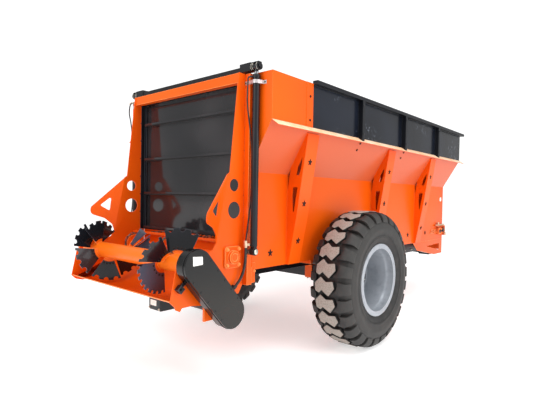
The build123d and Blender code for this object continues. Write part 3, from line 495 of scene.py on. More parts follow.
SOFT_STEEL = (              # nodes, paint, paint on the edges, width of the edge
    ("cheek_plate_left cheek_plate_right trough side_ribs_left side_ribs_right drive_bearings",
     orange, orange_highlight, 3.2 * MM),
    ("rotor_drum", orange_drum, orange_highlight, 3.2 * MM),
    ("side_wall_left side_wall_right", orange_wall, orange_wall, 2 * MM),
    ("rear_corners front_wall front_skirts tail_posts top_crossbeam cross_members floor "
     "floor_bearers rotor_bearings drive_shaft idler_shaft case_bracket gearbox_mount "
     "axle_saddles", orange, orange_highlight, 2 * MM),
    ("ledges", orange_ledge, orange_ledge, 2 * MM),
    ("extension_left extension_right front_extension", panel_black, rail_black, 2 * MM),
    # The gate's bevels take the darker rail black, a painted shade line along each stiffener.
    ("tailgate", gate_black, rail_black, 2 * MM),
    ("lift_bar", rail_black, rail_black, 2 * MM),
    ("rotor_blades", blade_black, black_highlight, 1.6 * MM),
    ("take_ups", service_steel, service_steel, 2 * MM),
    ("chain_case", case_black, rail_black, 3 * MM),
    ("gate_guides cylinder_barrels case_latch gearbox cross_tube driveline axle hub_left "
     "hub_right chassis_rails drawbar_beams drawbar_head jack_tube",
     frame_black, black_highlight, 2.2 * MM),
    ("cylinder_clamps", clamp_steel, clamp_steel, 1 * MM),
    ("rim_left rim_right", silver, silver_highlight, 3 * MM),
)
for names, paint, edge_paint, width in SOFT_STEEL:
    for node in names.split():
        softened(node, width, paint, edge_paint)
print(sum(len(row[0].split()) for row in SOFT_STEEL), "pieces softened")

# %% [markdown]
# A few pieces are turned or drawn, with no sheared edge to soften. They keep their mesh
# and only get their finish: the cylinders' rods and feet, the hoses, the eye and the foot.

# %% Pieces whose shape is right already
for node, material in (("cylinder_rods", rod_chrome), ("oil_lines", hose_black),
                       ("hitch_eye", zinc), ("jack_leg", zinc), ("cylinder_feet", zinc)):
    nodes[node].data.materials.clear()
    nodes[node].data.materials.append(material)
print("plain pieces painted")

# %% [markdown]
# ## Tools for new pieces
#
# Every new piece begins as a primitive and is then shaped in edit mode. Operators work
# on whatever is selected, so each helper first clears the selection and picks only what
# it needs. A finished piece has its place in its mesh, like the steel of the frame.


# %% Starting, shaping and finishing a piece
def fresh(kind, name, **options):
    """A new mesh primitive, and the only thing selected."""
    bpy.ops.object.select_all(action="DESELECT")
    getattr(bpy.ops.mesh, f"primitive_{kind}_add")(**options)
    piece = bpy.context.object
    piece.name = name
    return piece


def outline(name, points):
    """A flat plate: a circle primitive whose corners are moved to the given points."""
    piece = fresh("circle", name, vertices=len(points), radius=1, fill_type="NGON")
    for vertex, point in zip(piece.data.vertices, points):
        vertex.co = point
    return piece


def open_all(piece):
    """Go into edit mode with all of one piece selected."""
    only(piece)
    bpy.ops.object.mode_set(mode="EDIT")
    bpy.ops.mesh.select_mode(type="FACE")
    bpy.ops.mesh.select_all(action="SELECT")


def close_up(piece, outward=True):
    """Leave edit mode, with every face turned outwards."""
    if outward:
        bpy.ops.mesh.select_all(action="SELECT")
        bpy.ops.mesh.normals_make_consistent(inside=False)
    bpy.ops.object.mode_set(mode="OBJECT")
    return piece


def pick_faces(piece, test):
    """In edit mode, select only the faces whose centre and normal pass the test."""
    bpy.ops.mesh.select_all(action="DESELECT")
    mesh = bmesh.from_edit_mesh(piece.data)
    for face in mesh.faces:
        face.select_set(bool(test(face.calc_center_median(), face.normal)))
    bmesh.update_edit_mesh(piece.data)


def thickened(piece, move):
    """Draw a flat plate out into a solid."""
    open_all(piece)
    bpy.ops.mesh.extrude_region_move(TRANSFORM_OT_translate={"value": move})
    return close_up(piece)


def cut_across(piece, axis, places):
    """Add rings of edges where planes across one axis meet the piece."""
    normal = [float(i == axis) for i in range(3)]
    open_all(piece)
    for spot in places:
        bpy.ops.mesh.select_all(action="SELECT")
        bpy.ops.mesh.bisect(plane_co=[part * spot for part in normal], plane_no=normal)
    return close_up(piece)


def rounded(piece, width, segments=2, angle=32):
    """Round the sharp edges with a bevel that is applied."""
    only(piece)
    bevel = piece.modifiers.new("round edges", "BEVEL")
    bevel.width = width
    bevel.segments = segments
    bevel.limit_method = "ANGLE"
    bevel.angle_limit = math.radians(angle)
    bpy.ops.object.modifier_apply(modifier=bevel.name)
    return piece


def placed(piece, matrix):
    """A copy with its own mesh, moved inside that mesh."""
    copy = piece.copy()
    copy.data = piece.data.copy()
    copy.data.transform(matrix)
    bpy.context.scene.collection.objects.link(copy)
    return copy


def joined(pieces, name):
    """Several pieces as one, under a new name."""
    bpy.ops.object.select_all(action="DESELECT")
    for piece in pieces:
        piece.select_set(True)
    bpy.context.view_layer.objects.active = pieces[0]
    if len(pieces) > 1:
        bpy.ops.object.join()
    pieces[0].name = name
    return pieces[0]


def settled(piece, body, material, angle=38):
    """The last steps for each new piece: place, normals, shading, material and body."""
    only(piece)
    bpy.ops.object.transform_apply(location=True, rotation=True, scale=True)
    open_all(piece)
    close_up(piece)
    bpy.ops.object.shade_smooth_by_angle(angle=math.radians(angle))
    piece.data.materials.clear()
    piece.data.materials.append(material)
    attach(piece, body)
    return piece


def discard(piece):
    """Remove a pattern once its copies are made."""
    bpy.data.objects.remove(piece, do_unlink=True)


print("tools ready")

# %% [markdown]
# ## Tyres
#
# A field tyre is a smooth casing with separate blocks of rubber moulded on it. Here the
# casing is an outline spun about the axle. One centre block and two shoulder blocks are
# modelled flat, with a few cuts across them so that they can bend, and then rolled round
# the casing by a formula, again and again. Blocks cut into the casing as one mesh could
# be modelled too, but separate blocks keep crisp edges and are far lighter.

# %% Casing
BLOCKS = 26                 # blocks in one turn of the tyre
TREAD_DEPTH = 33 * MM
CROWN_HALF = 118 * MM       # flat part of the tread, each side of the middle
SHOULDER_R = 100 * MM
CASING_HALF = (             # outside and then inside of the casing: across, radius
    (112, 636), (172, 607), (213, 556), (222, 500), (210, 446), (215, 436), (213, 424),
    (203, 416), (200, 398), (187, 366), (175, 352),
    (175, 318.5), (146, 318.5), (192, 500), (178, 596),
)


def casing(side):
    """The smooth tyre: its outline, rounded and spun about the axle."""
    half = [Vector((0, across * MM, radius * MM)) for across, radius in CASING_HALF]
    other = [Vector((0, -point.y, point.z)) for point in reversed(half)]
    middle = Vector((wheel_x, side * TYRE_MIDDLE, wheel_z))
    piece = outline("casing", [middle + point for point in half + other])
    open_all(piece)
    bpy.ops.mesh.bevel(offset=11 * MM, segments=3, affect="VERTICES")
    bpy.ops.mesh.select_all(action="SELECT")
    bpy.ops.mesh.delete(type="ONLY_FACE")
    bpy.ops.mesh.select_mode(type="EDGE")
    bpy.ops.mesh.select_all(action="SELECT")
    bpy.ops.mesh.spin(steps=BLOCKS * 4, angle=math.tau, center=middle, axis=(0, 1, 0))
    bpy.ops.mesh.select_all(action="SELECT")
    bpy.ops.mesh.remove_doubles(threshold=0.0001)
    return close_up(piece)


print(BLOCKS, "blocks to a turn")


# %% Blocks, modelled flat
SUNK = 18 * MM              # how far a block reaches into the casing


def block(points, drop, corner, cuts_across, cuts_along):
    """One tread block: across, along and height, with its top a drop below the crown."""
    piece = outline("block", [Vector((a * MM, b * MM, -drop * MM)) for a, b in points])
    open_all(piece)
    bpy.ops.mesh.bevel(offset=corner * MM, segments=3, affect="VERTICES")
    close_up(piece, outward=False)
    thickened(piece, (0, 0, drop * MM - TREAD_DEPTH - SUNK))
    cut_across(piece, 0, [cut * MM for cut in cuts_across])
    cut_across(piece, 1, [cut * MM for cut in cuts_along])
    return rounded(piece, 4 * MM, 2, 40)


CENTRE_BLOCK = ((-110, 28), (-52, 85), (3, 43), (76, 54), (94, -8), (33, -84), (-14, -53),
                (-40, -34), (-68, -64), (-108, -46))
OUTER_BLOCK = ((114, 54), (124, 20), (108, -22), (80, -48), (72, -64), (116, -70), (190, -62),
               (282, -66), (282, 46), (190, 42))
INNER_BLOCK = ((-282, 36), (-128, 36), (-106, 54), (-106, 96), (-128, 122), (-282, 122))
BENDS = (118, 140, 165, 190, 215, 240, 262)
blocks = (
    block(CENTRE_BLOCK, 0, 7, (), (-40, 0, 40)),
    block(OUTER_BLOCK, 8, 9, BENDS, (-40, 0, 32)),
    block(INNER_BLOCK, 8, 9, [-bend for bend in BENDS], (60, 92)),
)
print([len(piece.data.polygons) for piece in blocks], "faces in the three blocks")


# %% Rolling the blocks round the tyre
def on_tyre(flat, side, turn):
    """A point of the flat tread, rolled round the wheel and over its shoulder."""
    across, along, height = flat
    over = max(abs(across) - CROWN_HALF, 0) / SHOULDER_R
    out = min(abs(across), CROWN_HALF) + (SHOULDER_R + height) * math.sin(over)
    reach = WHEEL_R - SHOULDER_R + (SHOULDER_R + height) * math.cos(over)
    angle = turn + along / WHEEL_R
    return Vector((wheel_x - reach * math.cos(angle),
                   side * (TYRE_MIDDLE + math.copysign(out, across)),
                   wheel_z + reach * math.sin(angle)))


for side_name, side in SIDES.items():
    pieces = [casing(side)]
    for i in range(BLOCKS):
        for flat_block in blocks:
            copy = placed(flat_block, Matrix.Identity(4))
            for vertex in copy.data.vertices:
                vertex.co = on_tyre(vertex.co, side, i * math.tau / BLOCKS)
            pieces.append(copy)
    tyre = settled(joined(pieces, f"tyre_{side_name}_tread"), f"wheel_{side_name}", rubber)
    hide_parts(f"tyre_{side_name}")
    print(tyre.name, len(tyre.data.polygons), "faces")
for piece in blocks:
    discard(piece)

# %% [markdown]
# ## Bolts
#
# Bolts hold every bearing, blade and strap. One bolt is modelled at unit size: a washer,
# a head with a bevelled top, and the thread's end in a nut. Copies are scaled and turned
# to their places, and all those of one body and finish are joined into one piece.


# %% One bolt of each kind
def unit_bolt():
    """A bolt of unit thread size, standing on the plane z = 0."""
    washer = fresh("cylinder", "washer", vertices=20, radius=1.05, depth=0.16, location=(0, 0, 0.08))
    head = fresh("cylinder", "head", vertices=6, radius=0.88, depth=0.7, location=(0, 0, 0.5))
    open_all(head)
    pick_faces(head, lambda centre, normal: normal.z > 0.9)
    bpy.ops.mesh.bevel(offset=0.1, segments=1)
    close_up(head)
    stud = fresh("cylinder", "stud", vertices=10, radius=0.5, depth=0.34, location=(0, 0, 1.0))
    pieces = [washer, head, stud]
    for piece in pieces:
        only(piece)
        bpy.ops.object.transform_apply(location=True)
    return joined(pieces, "unit_bolt")


def unit_dome():
    """A round-headed bolt: the upper part of a ball, flattened."""
    ball = fresh("uv_sphere", "unit_dome", segments=14, ring_count=8, radius=1)
    open_all(ball)
    bpy.ops.mesh.bisect(plane_co=(0, 0, 0.2), plane_no=(0, 0, 1), clear_inner=True, use_fill=True)
    bpy.ops.mesh.select_all(action="SELECT")
    bpy.ops.transform.resize(value=(1, 1, 0.6))
    close_up(ball)
    ball.data.transform(Matrix.Translation((0, 0, -0.12)))
    return ball


PATTERNS = {"bolt": unit_bolt(), "dome": unit_dome()}
FRONT, BACK, LEFT, RIGHT, DOWN = (1, 0, 0), (-1, 0, 0), (0, 1, 0), (0, -1, 0), (0, 0, -1)
print(len(PATTERNS), "kinds of bolt")


# %% Copies of a bolt
def fastener(kind, size, spot, direction):
    """A copy of a pattern, standing on a surface and pointing away from it."""
    turn = Vector(direction).normalized().to_track_quat("Z", "Y").to_matrix().to_4x4()
    return placed(PATTERNS[kind], Matrix.Translation(spot) @ turn @ Matrix.Scale(size * MM, 4))


bolts = {name: [] for name in ("orange_bolts", "zinc_bolts", "black_bolts", "dark_plugs",
                               "rotor_bolts")}


def row(group, kind, size, spots, direction):
    """The same fastener at each of some drawing places, kept with its group."""
    bolts[group] += [fastener(kind, size, place(*spot), direction) for spot in spots]


def square(x, z, half):
    """The four corners of an upright square, as (x, z)."""
    return [(x + a * half, z + b * half) for a in (-1, 1) for b in (-1, 1)]


def circle(x, z, radius, count, shift=0):
    """Even places on an upright circle, turned on by a share of one step, as (x, z)."""
    turns = [math.tau * (i + shift) / count for i in range(count)]
    return [(x + radius * math.cos(turn), z + radius * math.sin(turn)) for turn in turns]


print(len(bolts), "groups of bolts")

# %% [markdown]
# Bolts come in rows, so a row is written as a short sum over its places. Those on the
# orange body were painted with it, in a paler orange that is a painted highlight, those under the
# floor are zinc, and the black ones hold the gate's guides, the extension and the chain case. The dark
# ones are open holes, domes painted in the dark red of the shade inside a hole.

# %% Rows on both sides
ROTOR, DRIVE = (-600, 976), (-178, 994)             # shafts, as (x, z)
CASE_LOW, AXLE = (-264, 589), (1374, 674)
WALL, FOLD_Z = 749, 1674                            # the lower wall's face, and its upper end
for side in SIDES.values():
    away = (0, side, 0)
    row("orange_bolts", "bolt", 15, [(x, side * 765, z) for x, z in square(*DRIVE, 62)], away)
    row("black_bolts", "dome", 9, [(-57, side * 742, z) for z in range(1300, 2381, 180)], BACK)
    row("dark_plugs", "dome", 12, [(489, side * 995, z) for z in (2340, 2137)], away)
    row("black_bolts", "dome", 12,
        [(x, side * 1040, z) for x in (1339, 2350, 3398) for z in (2120, 2400)], away)
    row("black_bolts", "dome", 6, [(-60, side * y, 2374) for y in (760, 784)], BACK)
    row("black_bolts", "dome", 7, [(-5, side * 915, 2374)], BACK)
    row("dark_plugs", "dome", 13,
        [(x, side * (WALL + (z - FOLD_Z) * 241 / 406), z) for x in (1406, 2444) for z in (2035, 1971)],
        (0, side * 0.86, -0.51))
    row("orange_bolts", "bolt", 12, [(-2, side * 755, 778), (76, side * 755, 856)], away)
    row("zinc_bolts", "bolt", 14, [(x, side * 460, 705) for x in range(3430, 4400, 240)], away)
    row("zinc_bolts", "bolt", 16, [(x, side * y, 600) for x in (1326, 1422) for y in (390, 450)], DOWN)
    row("orange_bolts", "bolt", 12,
        [(x, side * 794, z) for x in (4145, 4245) for z in (962, 1026)], away)
print({name: len(group) for name, group in bolts.items()})

# %% Rows on one side only
row("orange_bolts", "bolt", 14, [(x, 769, z) for x, z in square(*ROTOR, 56)], LEFT)
row("black_bolts", "bolt", 11, [(-688, -789, 816)], RIGHT)
for y, direction in ((-130, RIGHT), (115, LEFT)):
    row("black_bolts", "bolt", 7, [(x, y, z) for x, z in circle(*CASE_LOW, 50, 8, 0.5)], direction)
row("zinc_bolts", "bolt", 9, [(-372, y, z) for z in (490, 670) for y in (-70, 70)], BACK)
row("zinc_bolts", "bolt", 14, [(5845, y, z) for y in (-48, 48) for z in (460, 540)], FRONT)
print({name: len(group) for name, group in bolts.items()})

# %% [markdown]
# Each flight of the rotor is a short piece of auger, with a row of bolts that hold its
# blade. They follow the flight's own plane, which leans against the shaft, so their
# places come from the same turn and lean as the blade's.

# %% Bolts on the rotor
BOLT_R = 112 * MM           # from the shaft's middle out to the row
BLADES = (                  # place along the shaft, turn about it, lean, half angle, bolts
    (612, 60, 20, 28, 3), (490, 107, 20, 28, 3), (535, 143, 20, 28, 3), (430, 200, 15, 28, 4),
    (340, 262, 30, 28, 4), (280, 320, 30, 28, 4), (96, 31, 66, 17, 2), (-100, 315, -30, 28, 3),
    (-455, 229, -12, 50, 5), (-560, 150, -30, 28, 4), (-622, 80, -48, 30, 4),
)
for along, turn, lean, half_angle, count in BLADES:
    # The blade's own X points out from the shaft and its Z along it, tipped by the lean.
    blade_turn = Matrix.Rotation(math.radians(-turn), 4, "Y")
    for part in (90, lean):
        blade_turn = blade_turn @ Matrix.Rotation(math.radians(part), 4, "X")
    middle = place(ROTOR[0], along, ROTOR[1])
    for i in range(count):
        swing = math.radians(half_angle * 0.72 * (2 * i / (count - 1) - 1))
        spot = Vector((BOLT_R * math.cos(swing), BOLT_R * math.sin(swing), 0))
        for face in (1, -1):
            there = middle + blade_turn @ (spot + Vector((0, 0, face * 8 * MM)))
            direction = blade_turn @ Vector((0, 0, face))
            # The bolt ends are painted in the dark red of painted shade in a hole.
            bolts["rotor_bolts"].append(fastener("dome", 8, there, direction))
print(len(bolts["rotor_bolts"]), "bolt ends on the blades")

# %% [markdown]
# ## Plugs in the ribs
#
# The ribs are closed boxes of thin steel. Each has jig holes down its face, closed by
# dark plugs with five blunt lobes, painted in the dark red of the shade inside a hole. A plug is a
# round disc whose rim is moved in and out by a cosine, which is quicker than cutting five notches.


# %% One plug
def unit_plug(corners=40, lobes=5):
    plug = fresh("circle", "plug", vertices=corners, radius=1, fill_type="NGON")
    for i, vertex in enumerate(plug.data.vertices):
        vertex.co *= 0.7 + 0.3 * math.cos(lobes * math.tau * i / corners)
    thickened(plug, (0, 0, 0.12))
    return rounded(plug, 0.04, 1, 60)


PATTERNS["plug"] = unit_plug()
print("the plug has", len(PATTERNS["plug"].data.polygons), "faces")

# %% Plugs down the ribs and along the wall
RIBS_X = (500, 2055, 3305)  # rear edge of each rib
RIB_MIDDLE = 85
RIB_FACE = ((775, 865), (867, 1350), (973, 2030))   # out from the middle, height


def rib_face(z):
    """How far out a rib's face stands at a height, and which way it faces."""
    low, high = (RIB_FACE[0:2] if z < RIB_FACE[1][1] else RIB_FACE[1:3])
    share = (z - low[1]) / (high[1] - low[1])
    facing = Vector((0, high[1] - low[1], low[0] - high[0])).normalized()
    return low[0] + share * (high[0] - low[0]), facing


for side in SIDES.values():
    for x in RIBS_X:
        for z in (1784, 1416, 1078):
            out, facing = rib_face(z)
            row("dark_plugs", "plug", 31, [(x + RIB_MIDDLE, side * out, z)],
                (0, side * facing.y, facing.z))
    row("dark_plugs", "plug", 33,
        [(x, side * WALL, z) for x, z in ((281, 986), (3108, 990), (3709, 991))], (0, side, 0))
print(len(bolts["dark_plugs"]), "plugs and open holes")

# %% [markdown]
# Hundreds of loose bolts would be slow to handle. All those with one finish and one body
# are joined, so that the group moves and is painted as one piece.

# %% Joining each group
# The orange bolts take the paler orange of a painted highlight; the holes, plugs and rotor bolt ends
# take the dark red of painted shade in a hole.
for name, body, material in (
        ("orange_bolts", "machine", orange_highlight), ("zinc_bolts", "machine", zinc),
        ("black_bolts", "machine", frame_black), ("dark_plugs", "machine", hole_shade),
        ("rotor_bolts", "rotor", hole_shade)):
    group = settled(joined(bolts[name], name), body, material)
    print(name, len(group.data.polygons), "faces")

# %% [markdown]
# ## Conveyor
#
# Two round-link chains on each side drag steel slats along the floor. The frame holds a
# plain band for each chain. One link is a ring pulled long, and copies follow the band
# round both shafts, each one turned a quarter against the last, as real links lie.

# %% Path of the chains
CONVEYOR_Z = 994
SHAFTS_X = (-178, 4195)
CHAIN_R = 92
STRANDS = (90, 650)         # the two chains of a side, out from the middle
RUN = SHAFTS_X[1] - SHAFTS_X[0]
ARC = math.pi * CHAIN_R
LINKS = 232
LINK_PITCH = (2 * RUN + math.tau * CHAIN_R) / LINKS


def chain_place(travel):
    """Where a link is after some travel along its loop, and how far it has turned."""
    if travel < RUN:
        return SHAFTS_X[0] + travel, CONVEYOR_Z + CHAIN_R, 0
    if RUN + ARC <= travel < 2 * RUN + ARC:
        return SHAFTS_X[1] - (travel - RUN - ARC), CONVEYOR_Z - CHAIN_R, math.pi
    if travel < RUN + ARC:
        shaft_x, turn = SHAFTS_X[1], (travel - RUN) / CHAIN_R
    else:
        shaft_x, turn = SHAFTS_X[0], math.pi + (travel - 2 * RUN - ARC) / CHAIN_R
    return shaft_x + CHAIN_R * math.sin(turn), CONVEYOR_Z + CHAIN_R * math.cos(turn), turn


print("one link every", round(LINK_PITCH, 1), "mm")

# %% Links
link = fresh("torus", "link", major_segments=12, minor_segments=6, major_radius=7.6 * MM,
             minor_radius=4.2 * MM)
open_all(link)
for end in (1, -1):
    pick_faces(link, lambda centre, normal: centre.x * end > 0)
    bpy.ops.transform.translate(value=(end * (LINK_PITCH - 9) * MM * 0.5, 0, 0))
close_up(link)
for name, side in SIDES.items():
    links = []
    for strand in STRANDS:
        for i in range(LINKS):
            x, z, turn = chain_place((i + 0.5) * LINK_PITCH)
            lay = Matrix.Rotation(turn, 4, "Y") @ Matrix.Rotation(math.radians(90 * (i % 2)), 4, "X")
            links.append(placed(link, Matrix.Translation(place(x, side * strand, z)) @ lay))
    chain = settled(joined(links, f"conveyor_chain_{name}"), "machine", chain_steel)
    print(chain.name, len(chain.data.polygons), "faces")
discard(link)

# %% [markdown]
# A slat is a shallow channel of pressed steel, open side up, bolted to both chains of its
# side. Its end view is drawn as an outline and pulled out across the floor. The slats on
# the way back hang under the chain, upside down.

# %% Slats
SLAT_PITCH = 365
SLAT_WIDE = 40
OVERHANG = 40               # how far a slat reaches past each chain
SLAT_LINE = ((0, 0), (SLAT_WIDE, 0), (SLAT_WIDE, 15), (33, 15), (33, 6), (7, 6), (7, 15), (0, 15))
slats = []
slat = outline("slat", [Vector((a * MM, 0, b * MM)) for a, b in SLAT_LINE])
thickened(slat, (0, (STRANDS[1] - STRANDS[0] + 2 * OVERHANG) * MM, 0))
rounded(slat, 1.2 * MM, 2, 40)
for start in (STRANDS[0] - OVERHANG, -(STRANDS[1] + OVERHANG)):
    for i in range(int(RUN / SLAT_PITCH) + 1):
        x = SHAFTS_X[0] + 10 + i * SLAT_PITCH
        top = place(x, start, CONVEYOR_Z + CHAIN_R + 12)
        under = place(x + SLAT_WIDE, start, CONVEYOR_Z - CHAIN_R - 12)
        slats.append(placed(slat, Matrix.Translation(top)))
        slats.append(placed(slat, Matrix.Translation(under) @ Matrix.Rotation(math.pi, 4, "Y")))
slat_piece = settled(joined(slats, "conveyor_slats"), "machine", orange)
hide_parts("conveyor")
discard(slat)
print(len(slats), "slats")

# %% [markdown]
# ## Hose ends and cylinder fittings
#
# A hydraulic hose ends in a crimped sleeve, then a hexagon nut. The frame's hoses are
# plain tubes, so sleeves and nuts are slipped over them. Each begins as a cylinder
# along its axis, with rings of faces that are scaled in for the crimp and the collar.


# %% A turned part between two points
def turned_part(name, start, end, sizes, sides=20):
    """A round or many-sided bar from start to end, with a radius for each ring."""
    start, end = Vector(start), Vector(end)
    length = (end - start).length
    rings = len(sizes) - 1
    part = fresh("cylinder", name, vertices=sides, radius=1, depth=1, location=(0, 0, 0.5),
                 end_fill_type="NGON")
    only(part)
    bpy.ops.object.transform_apply(location=True)
    cut_across(part, 2, [i / rings for i in range(1, rings)])
    for vertex in part.data.vertices:
        radius = sizes[round(vertex.co.z * rings)] * MM
        vertex.co = Vector((vertex.co.x * radius, vertex.co.y * radius, vertex.co.z * length))
    turn = (end - start).to_track_quat("Z", "Y").to_matrix().to_4x4()
    part.data.transform(Matrix.Translation(start) @ turn)
    return part


print("lathe ready")

# %% [markdown]
# The parts are listed once, by the piece that they are joined into, and made on both
# sides. The lift bar's washers and nuts go up with the gate, so they are pieces of their
# own. The left cylinder's hose leaves its far side in two short elbows, and a third short
# stub stands on its near side.

# %% Fittings on both sides
CYL_X, CYL_Y, LIFT_Z, SCREW_Z = -40, 855, 2496, 994
NUT, ROUND, FINE = 6, 20, 28                # sides of a part
FITTINGS = (                                # piece, part, start, end, radii, sides
    ("hose_sleeves", "sleeve", (-92, 815, 1122), (-84, 811.5, 1066),
     (12.6, 14.6, 14.6, 13.6, 14.6, 13.6, 14.6, 12.6), ROUND),
    ("hose_sleeves", "nut", (-86, 812, 1098), (-82.5, 810.9, 1080), (16.5, 17.5, 17.5, 16.5), NUT),
    ("hose_sleeves", "elbow", (-88, 812.6, 1090), (-66, 836, 1090),
     (9.5, 10.5, 10.5, 11.5, 11.5), ROUND),
    ("hose_sleeves", "screw", (4254, 773, SCREW_Z), (4438, 773, SCREW_Z), (10, 11.2) * 23, 12),
    *[("hose_sleeves", "screw_nut", (x, 773, SCREW_Z), (x + 16, 773, SCREW_Z),
       (16, 18, 18, 16), NUT) for x in (4368, 4401, 4420)],
    ("cylinder_glands", "lower_sleeve", (-150, 775.5, 768), (-176, 775, 747),
     (12, 14, 13, 14, 12), ROUND),
    ("cylinder_glands", "port_nut", (-170, 751, 757), (-170, 764, 757), (17, 18.5, 18.5, 17), NUT),
    ("cylinder_glands", "grease_cap", (4195, 794, SCREW_Z), (4195, 806, SCREW_Z),
     (30, 30, 27, 20, 8), FINE),
    ("cylinder_glands", "screw_guard", (4300, 773, 1010), (4300, 812, 1010),
     (32, 34, 34, 30, 22), FINE),
    ("cylinder_glands", "gland", (CYL_X, CYL_Y, 2404), (CYL_X, CYL_Y, 2434),
     (31, 31.6, 31.6, 30, 30, 26), ROUND),
    *[("lift_washers", "washer", (CYL_X, y, LIFT_Z), (CYL_X, y + 3, LIFT_Z),
       (31.8, 32.6, 31.8), FINE) for y in (815.5, 831, 876)],
    ("lift_pin_nuts", "pin_nut", (CYL_X, 894, LIFT_Z), (CYL_X, 903, LIFT_Z), (19, 20, 20, 18), NUT),
    ("port_nuts", "foot_cap", (CYL_X, 883, 1034), (CYL_X, 887, 1034), (21, 22, 18), FINE),
    ("port_nuts", "wiper", (CYL_X, CYL_Y, 2434), (CYL_X, CYL_Y, 2438), (20, 20, 17.5), ROUND),
)
ELBOWS = (                                  # start, end, radii, on the left only
    ((-40, 888, 2422), (-40, 930, 2437), (7.5, 8.5, 8.5, 7.5)),
    ((-40, 955, 2438), (-40, 985, 2428), (7.5, 8, 8, 7)),
    ((-60, 836, 2417), (-86, 817, 2411), (7.5, 9, 9, 7.5)),
)
fittings = {}
for side in SIDES.values():
    for piece, part, start, end, sizes, sides in FITTINGS:
        start, end = (place(x, side * y, z) for x, y, z in (start, end))
        fittings.setdefault(piece, []).append(turned_part(part, start, end, sizes, sides))
for start, end, sizes in ELBOWS:
    fittings["hose_sleeves"].append(turned_part("top_elbow", place(*start), place(*end), sizes))
for name, body, material in (
        ("hose_sleeves", "machine", brass), ("port_nuts", "machine", zinc),
        ("cylinder_glands", "machine", frame_black),
        ("lift_washers", "tailgate", zinc), ("lift_pin_nuts", "tailgate", frame_black)):
    settled(joined(fittings[name], name), body, material)
    print(name, len(fittings[name]), "parts")

# %% [markdown]
# ## Blank plates
#
# The chain case and the gearbox carry small plates, left blank here. Each is a thin
# card with round corners, and its edge is bevelled so that it catches a thread of light.
# A round white marker sits on each wall, near the front.


# %% Plates and the side markers
def card(name, corners, thick, corner):
    """A thin plate: corners in frame metres, drawn out by a vector."""
    piece = outline(name, corners)
    open_all(piece)
    bpy.ops.mesh.bevel(offset=corner, segments=4, affect="VERTICES")
    close_up(piece, outward=False)
    thickened(piece, thick)
    return rounded(piece, 0.4 * MM, 1, 50)


def on_side(corners, y):
    return [place(x, y, z) for x, z in corners]


cards = [
    card("case_card", on_side(((-655, 1050), (-569, 1044), (-566, 988), (-652, 984)), -866),
         (0, -1.6 * MM, 0), 3 * MM),
    card("gear_card", [place(-372, y, z) for y, z in ((58, 560), (-30, 560), (-30, 512), (58, 512))],
         (-1.6 * MM, 0, 0), 3 * MM),
]
for side in SIDES.values():
    disc = on_side(circle(4290, 1482, 34, 24), side * WALL)
    cards.append(card("marker", disc, (0, side * 5 * MM, 0), 0.5 * MM))
settled(joined(cards, "blank_plates"), "machine", blank_white)
print(len(cards), "plates")

# %% [markdown]
# ## Painted shadow lines on the gate
#
# The gate is folded from strips of sheet. Under each stiffener its shadow falls as a sharp
# black line across it, and a thin dark strip there paints that shadow. The strip goes up with the
# gate.

# %% Painted shadow strips across the gate
LINE_X, LINE_HALF = -41, 700
lines = []
for z in (1140, 1486, 1826, 2175, 2385):    # the middle of each stiffener
    corners = [place(LINE_X, y, z + height) for y, height in (
        (-LINE_HALF, -15), (LINE_HALF, -15), (LINE_HALF, -3), (-LINE_HALF, -3))]
    lines.append(card("line", corners, (-1.6 * MM, 0, 0), 1 * MM))
settled(joined(lines, "gate_shadow_lines"), "tailgate", gate_shadow_black)
print(len(lines), "gate lines")

# %% [markdown]
# ## Chain adjuster
#
# The front shaft slides in the wall so that its chains can be kept tight. A slotted plate
# is bolted behind the bearing, and a guide rod with a post and a stop keeps it in line.

# %% Slotted plates and guide rods
SLOT_PLATE = ((3880, 962), (4130, 956), (4130, 1030), (3960, 1034))
PLATE_BOLTS = ((3930, 990), (4010, 980), (4010, 1012), (4090, 980))
GUIDE = (                   # part, start, end, radii
    ("guide_rod", (4060, 775, 1086), (4396, 775, 1086),
     (10, 12, 12, 12, 14, 12, 12, 12, 12, 12, 14, 10)),
    ("guide_post", (4165, 775, 1074), (4165, 775, 1128), (9, 13, 11, 11, 15, 15, 10)),
    ("guide_stop", (4372, 800, 962), (4398, 800, 930), (14, 17, 17, 15)),
)
plates, rods = [], []
for side in SIDES.values():
    plates.append(card("slot_plate", on_side(SLOT_PLATE, side * WALL), (0, side * 6 * MM, 0), 8 * MM))
    plates += [fastener("bolt", 12, spot, (0, side, 0)) for spot in on_side(PLATE_BOLTS, side * 755)]
    for part, start, end, sizes in GUIDE:
        start, end = (place(x, side * y, z) for x, y, z in (start, end))
        rods.append(turned_part(part, start, end, sizes, 8))
settled(joined(plates, "slot_plates"), "machine", service_steel)
settled(joined(rods, "guide_rods"), "machine", brass)
print(len(rods), "guide parts")

# %% [markdown]
# ## Chain case cover
#
# The case is two pressed halves, and the joint between them shows as a thin raised
# band all the way round. Its outline is two half circles and two straight sides. The
# band is that outline drawn out, with its own inner wall, so that it is a true ring.

# %% Outline of the case
CASE_R = 120
CASE_LEAN = math.atan2(ROTOR[1] - CASE_LOW[1], ROTOR[0] - CASE_LOW[0])
case_middle = (place(ROTOR[0], 0, ROTOR[1]) + place(CASE_LOW[0], 0, CASE_LOW[1])) / 2


def case_outline(radius, y, steps=24):
    """Two half circles, one about each end of the case."""
    points = []
    for (x, z), first in ((ROTOR, CASE_LEAN - math.pi / 2), (CASE_LOW, CASE_LEAN + math.pi / 2)):
        for i in range(steps + 1):
            turn = first + math.pi * i / steps
            points.append(place(x + radius * math.cos(turn), y, z + radius * math.sin(turn)))
    return points


print("the case leans", round(math.degrees(CASE_LEAN)), "degrees")


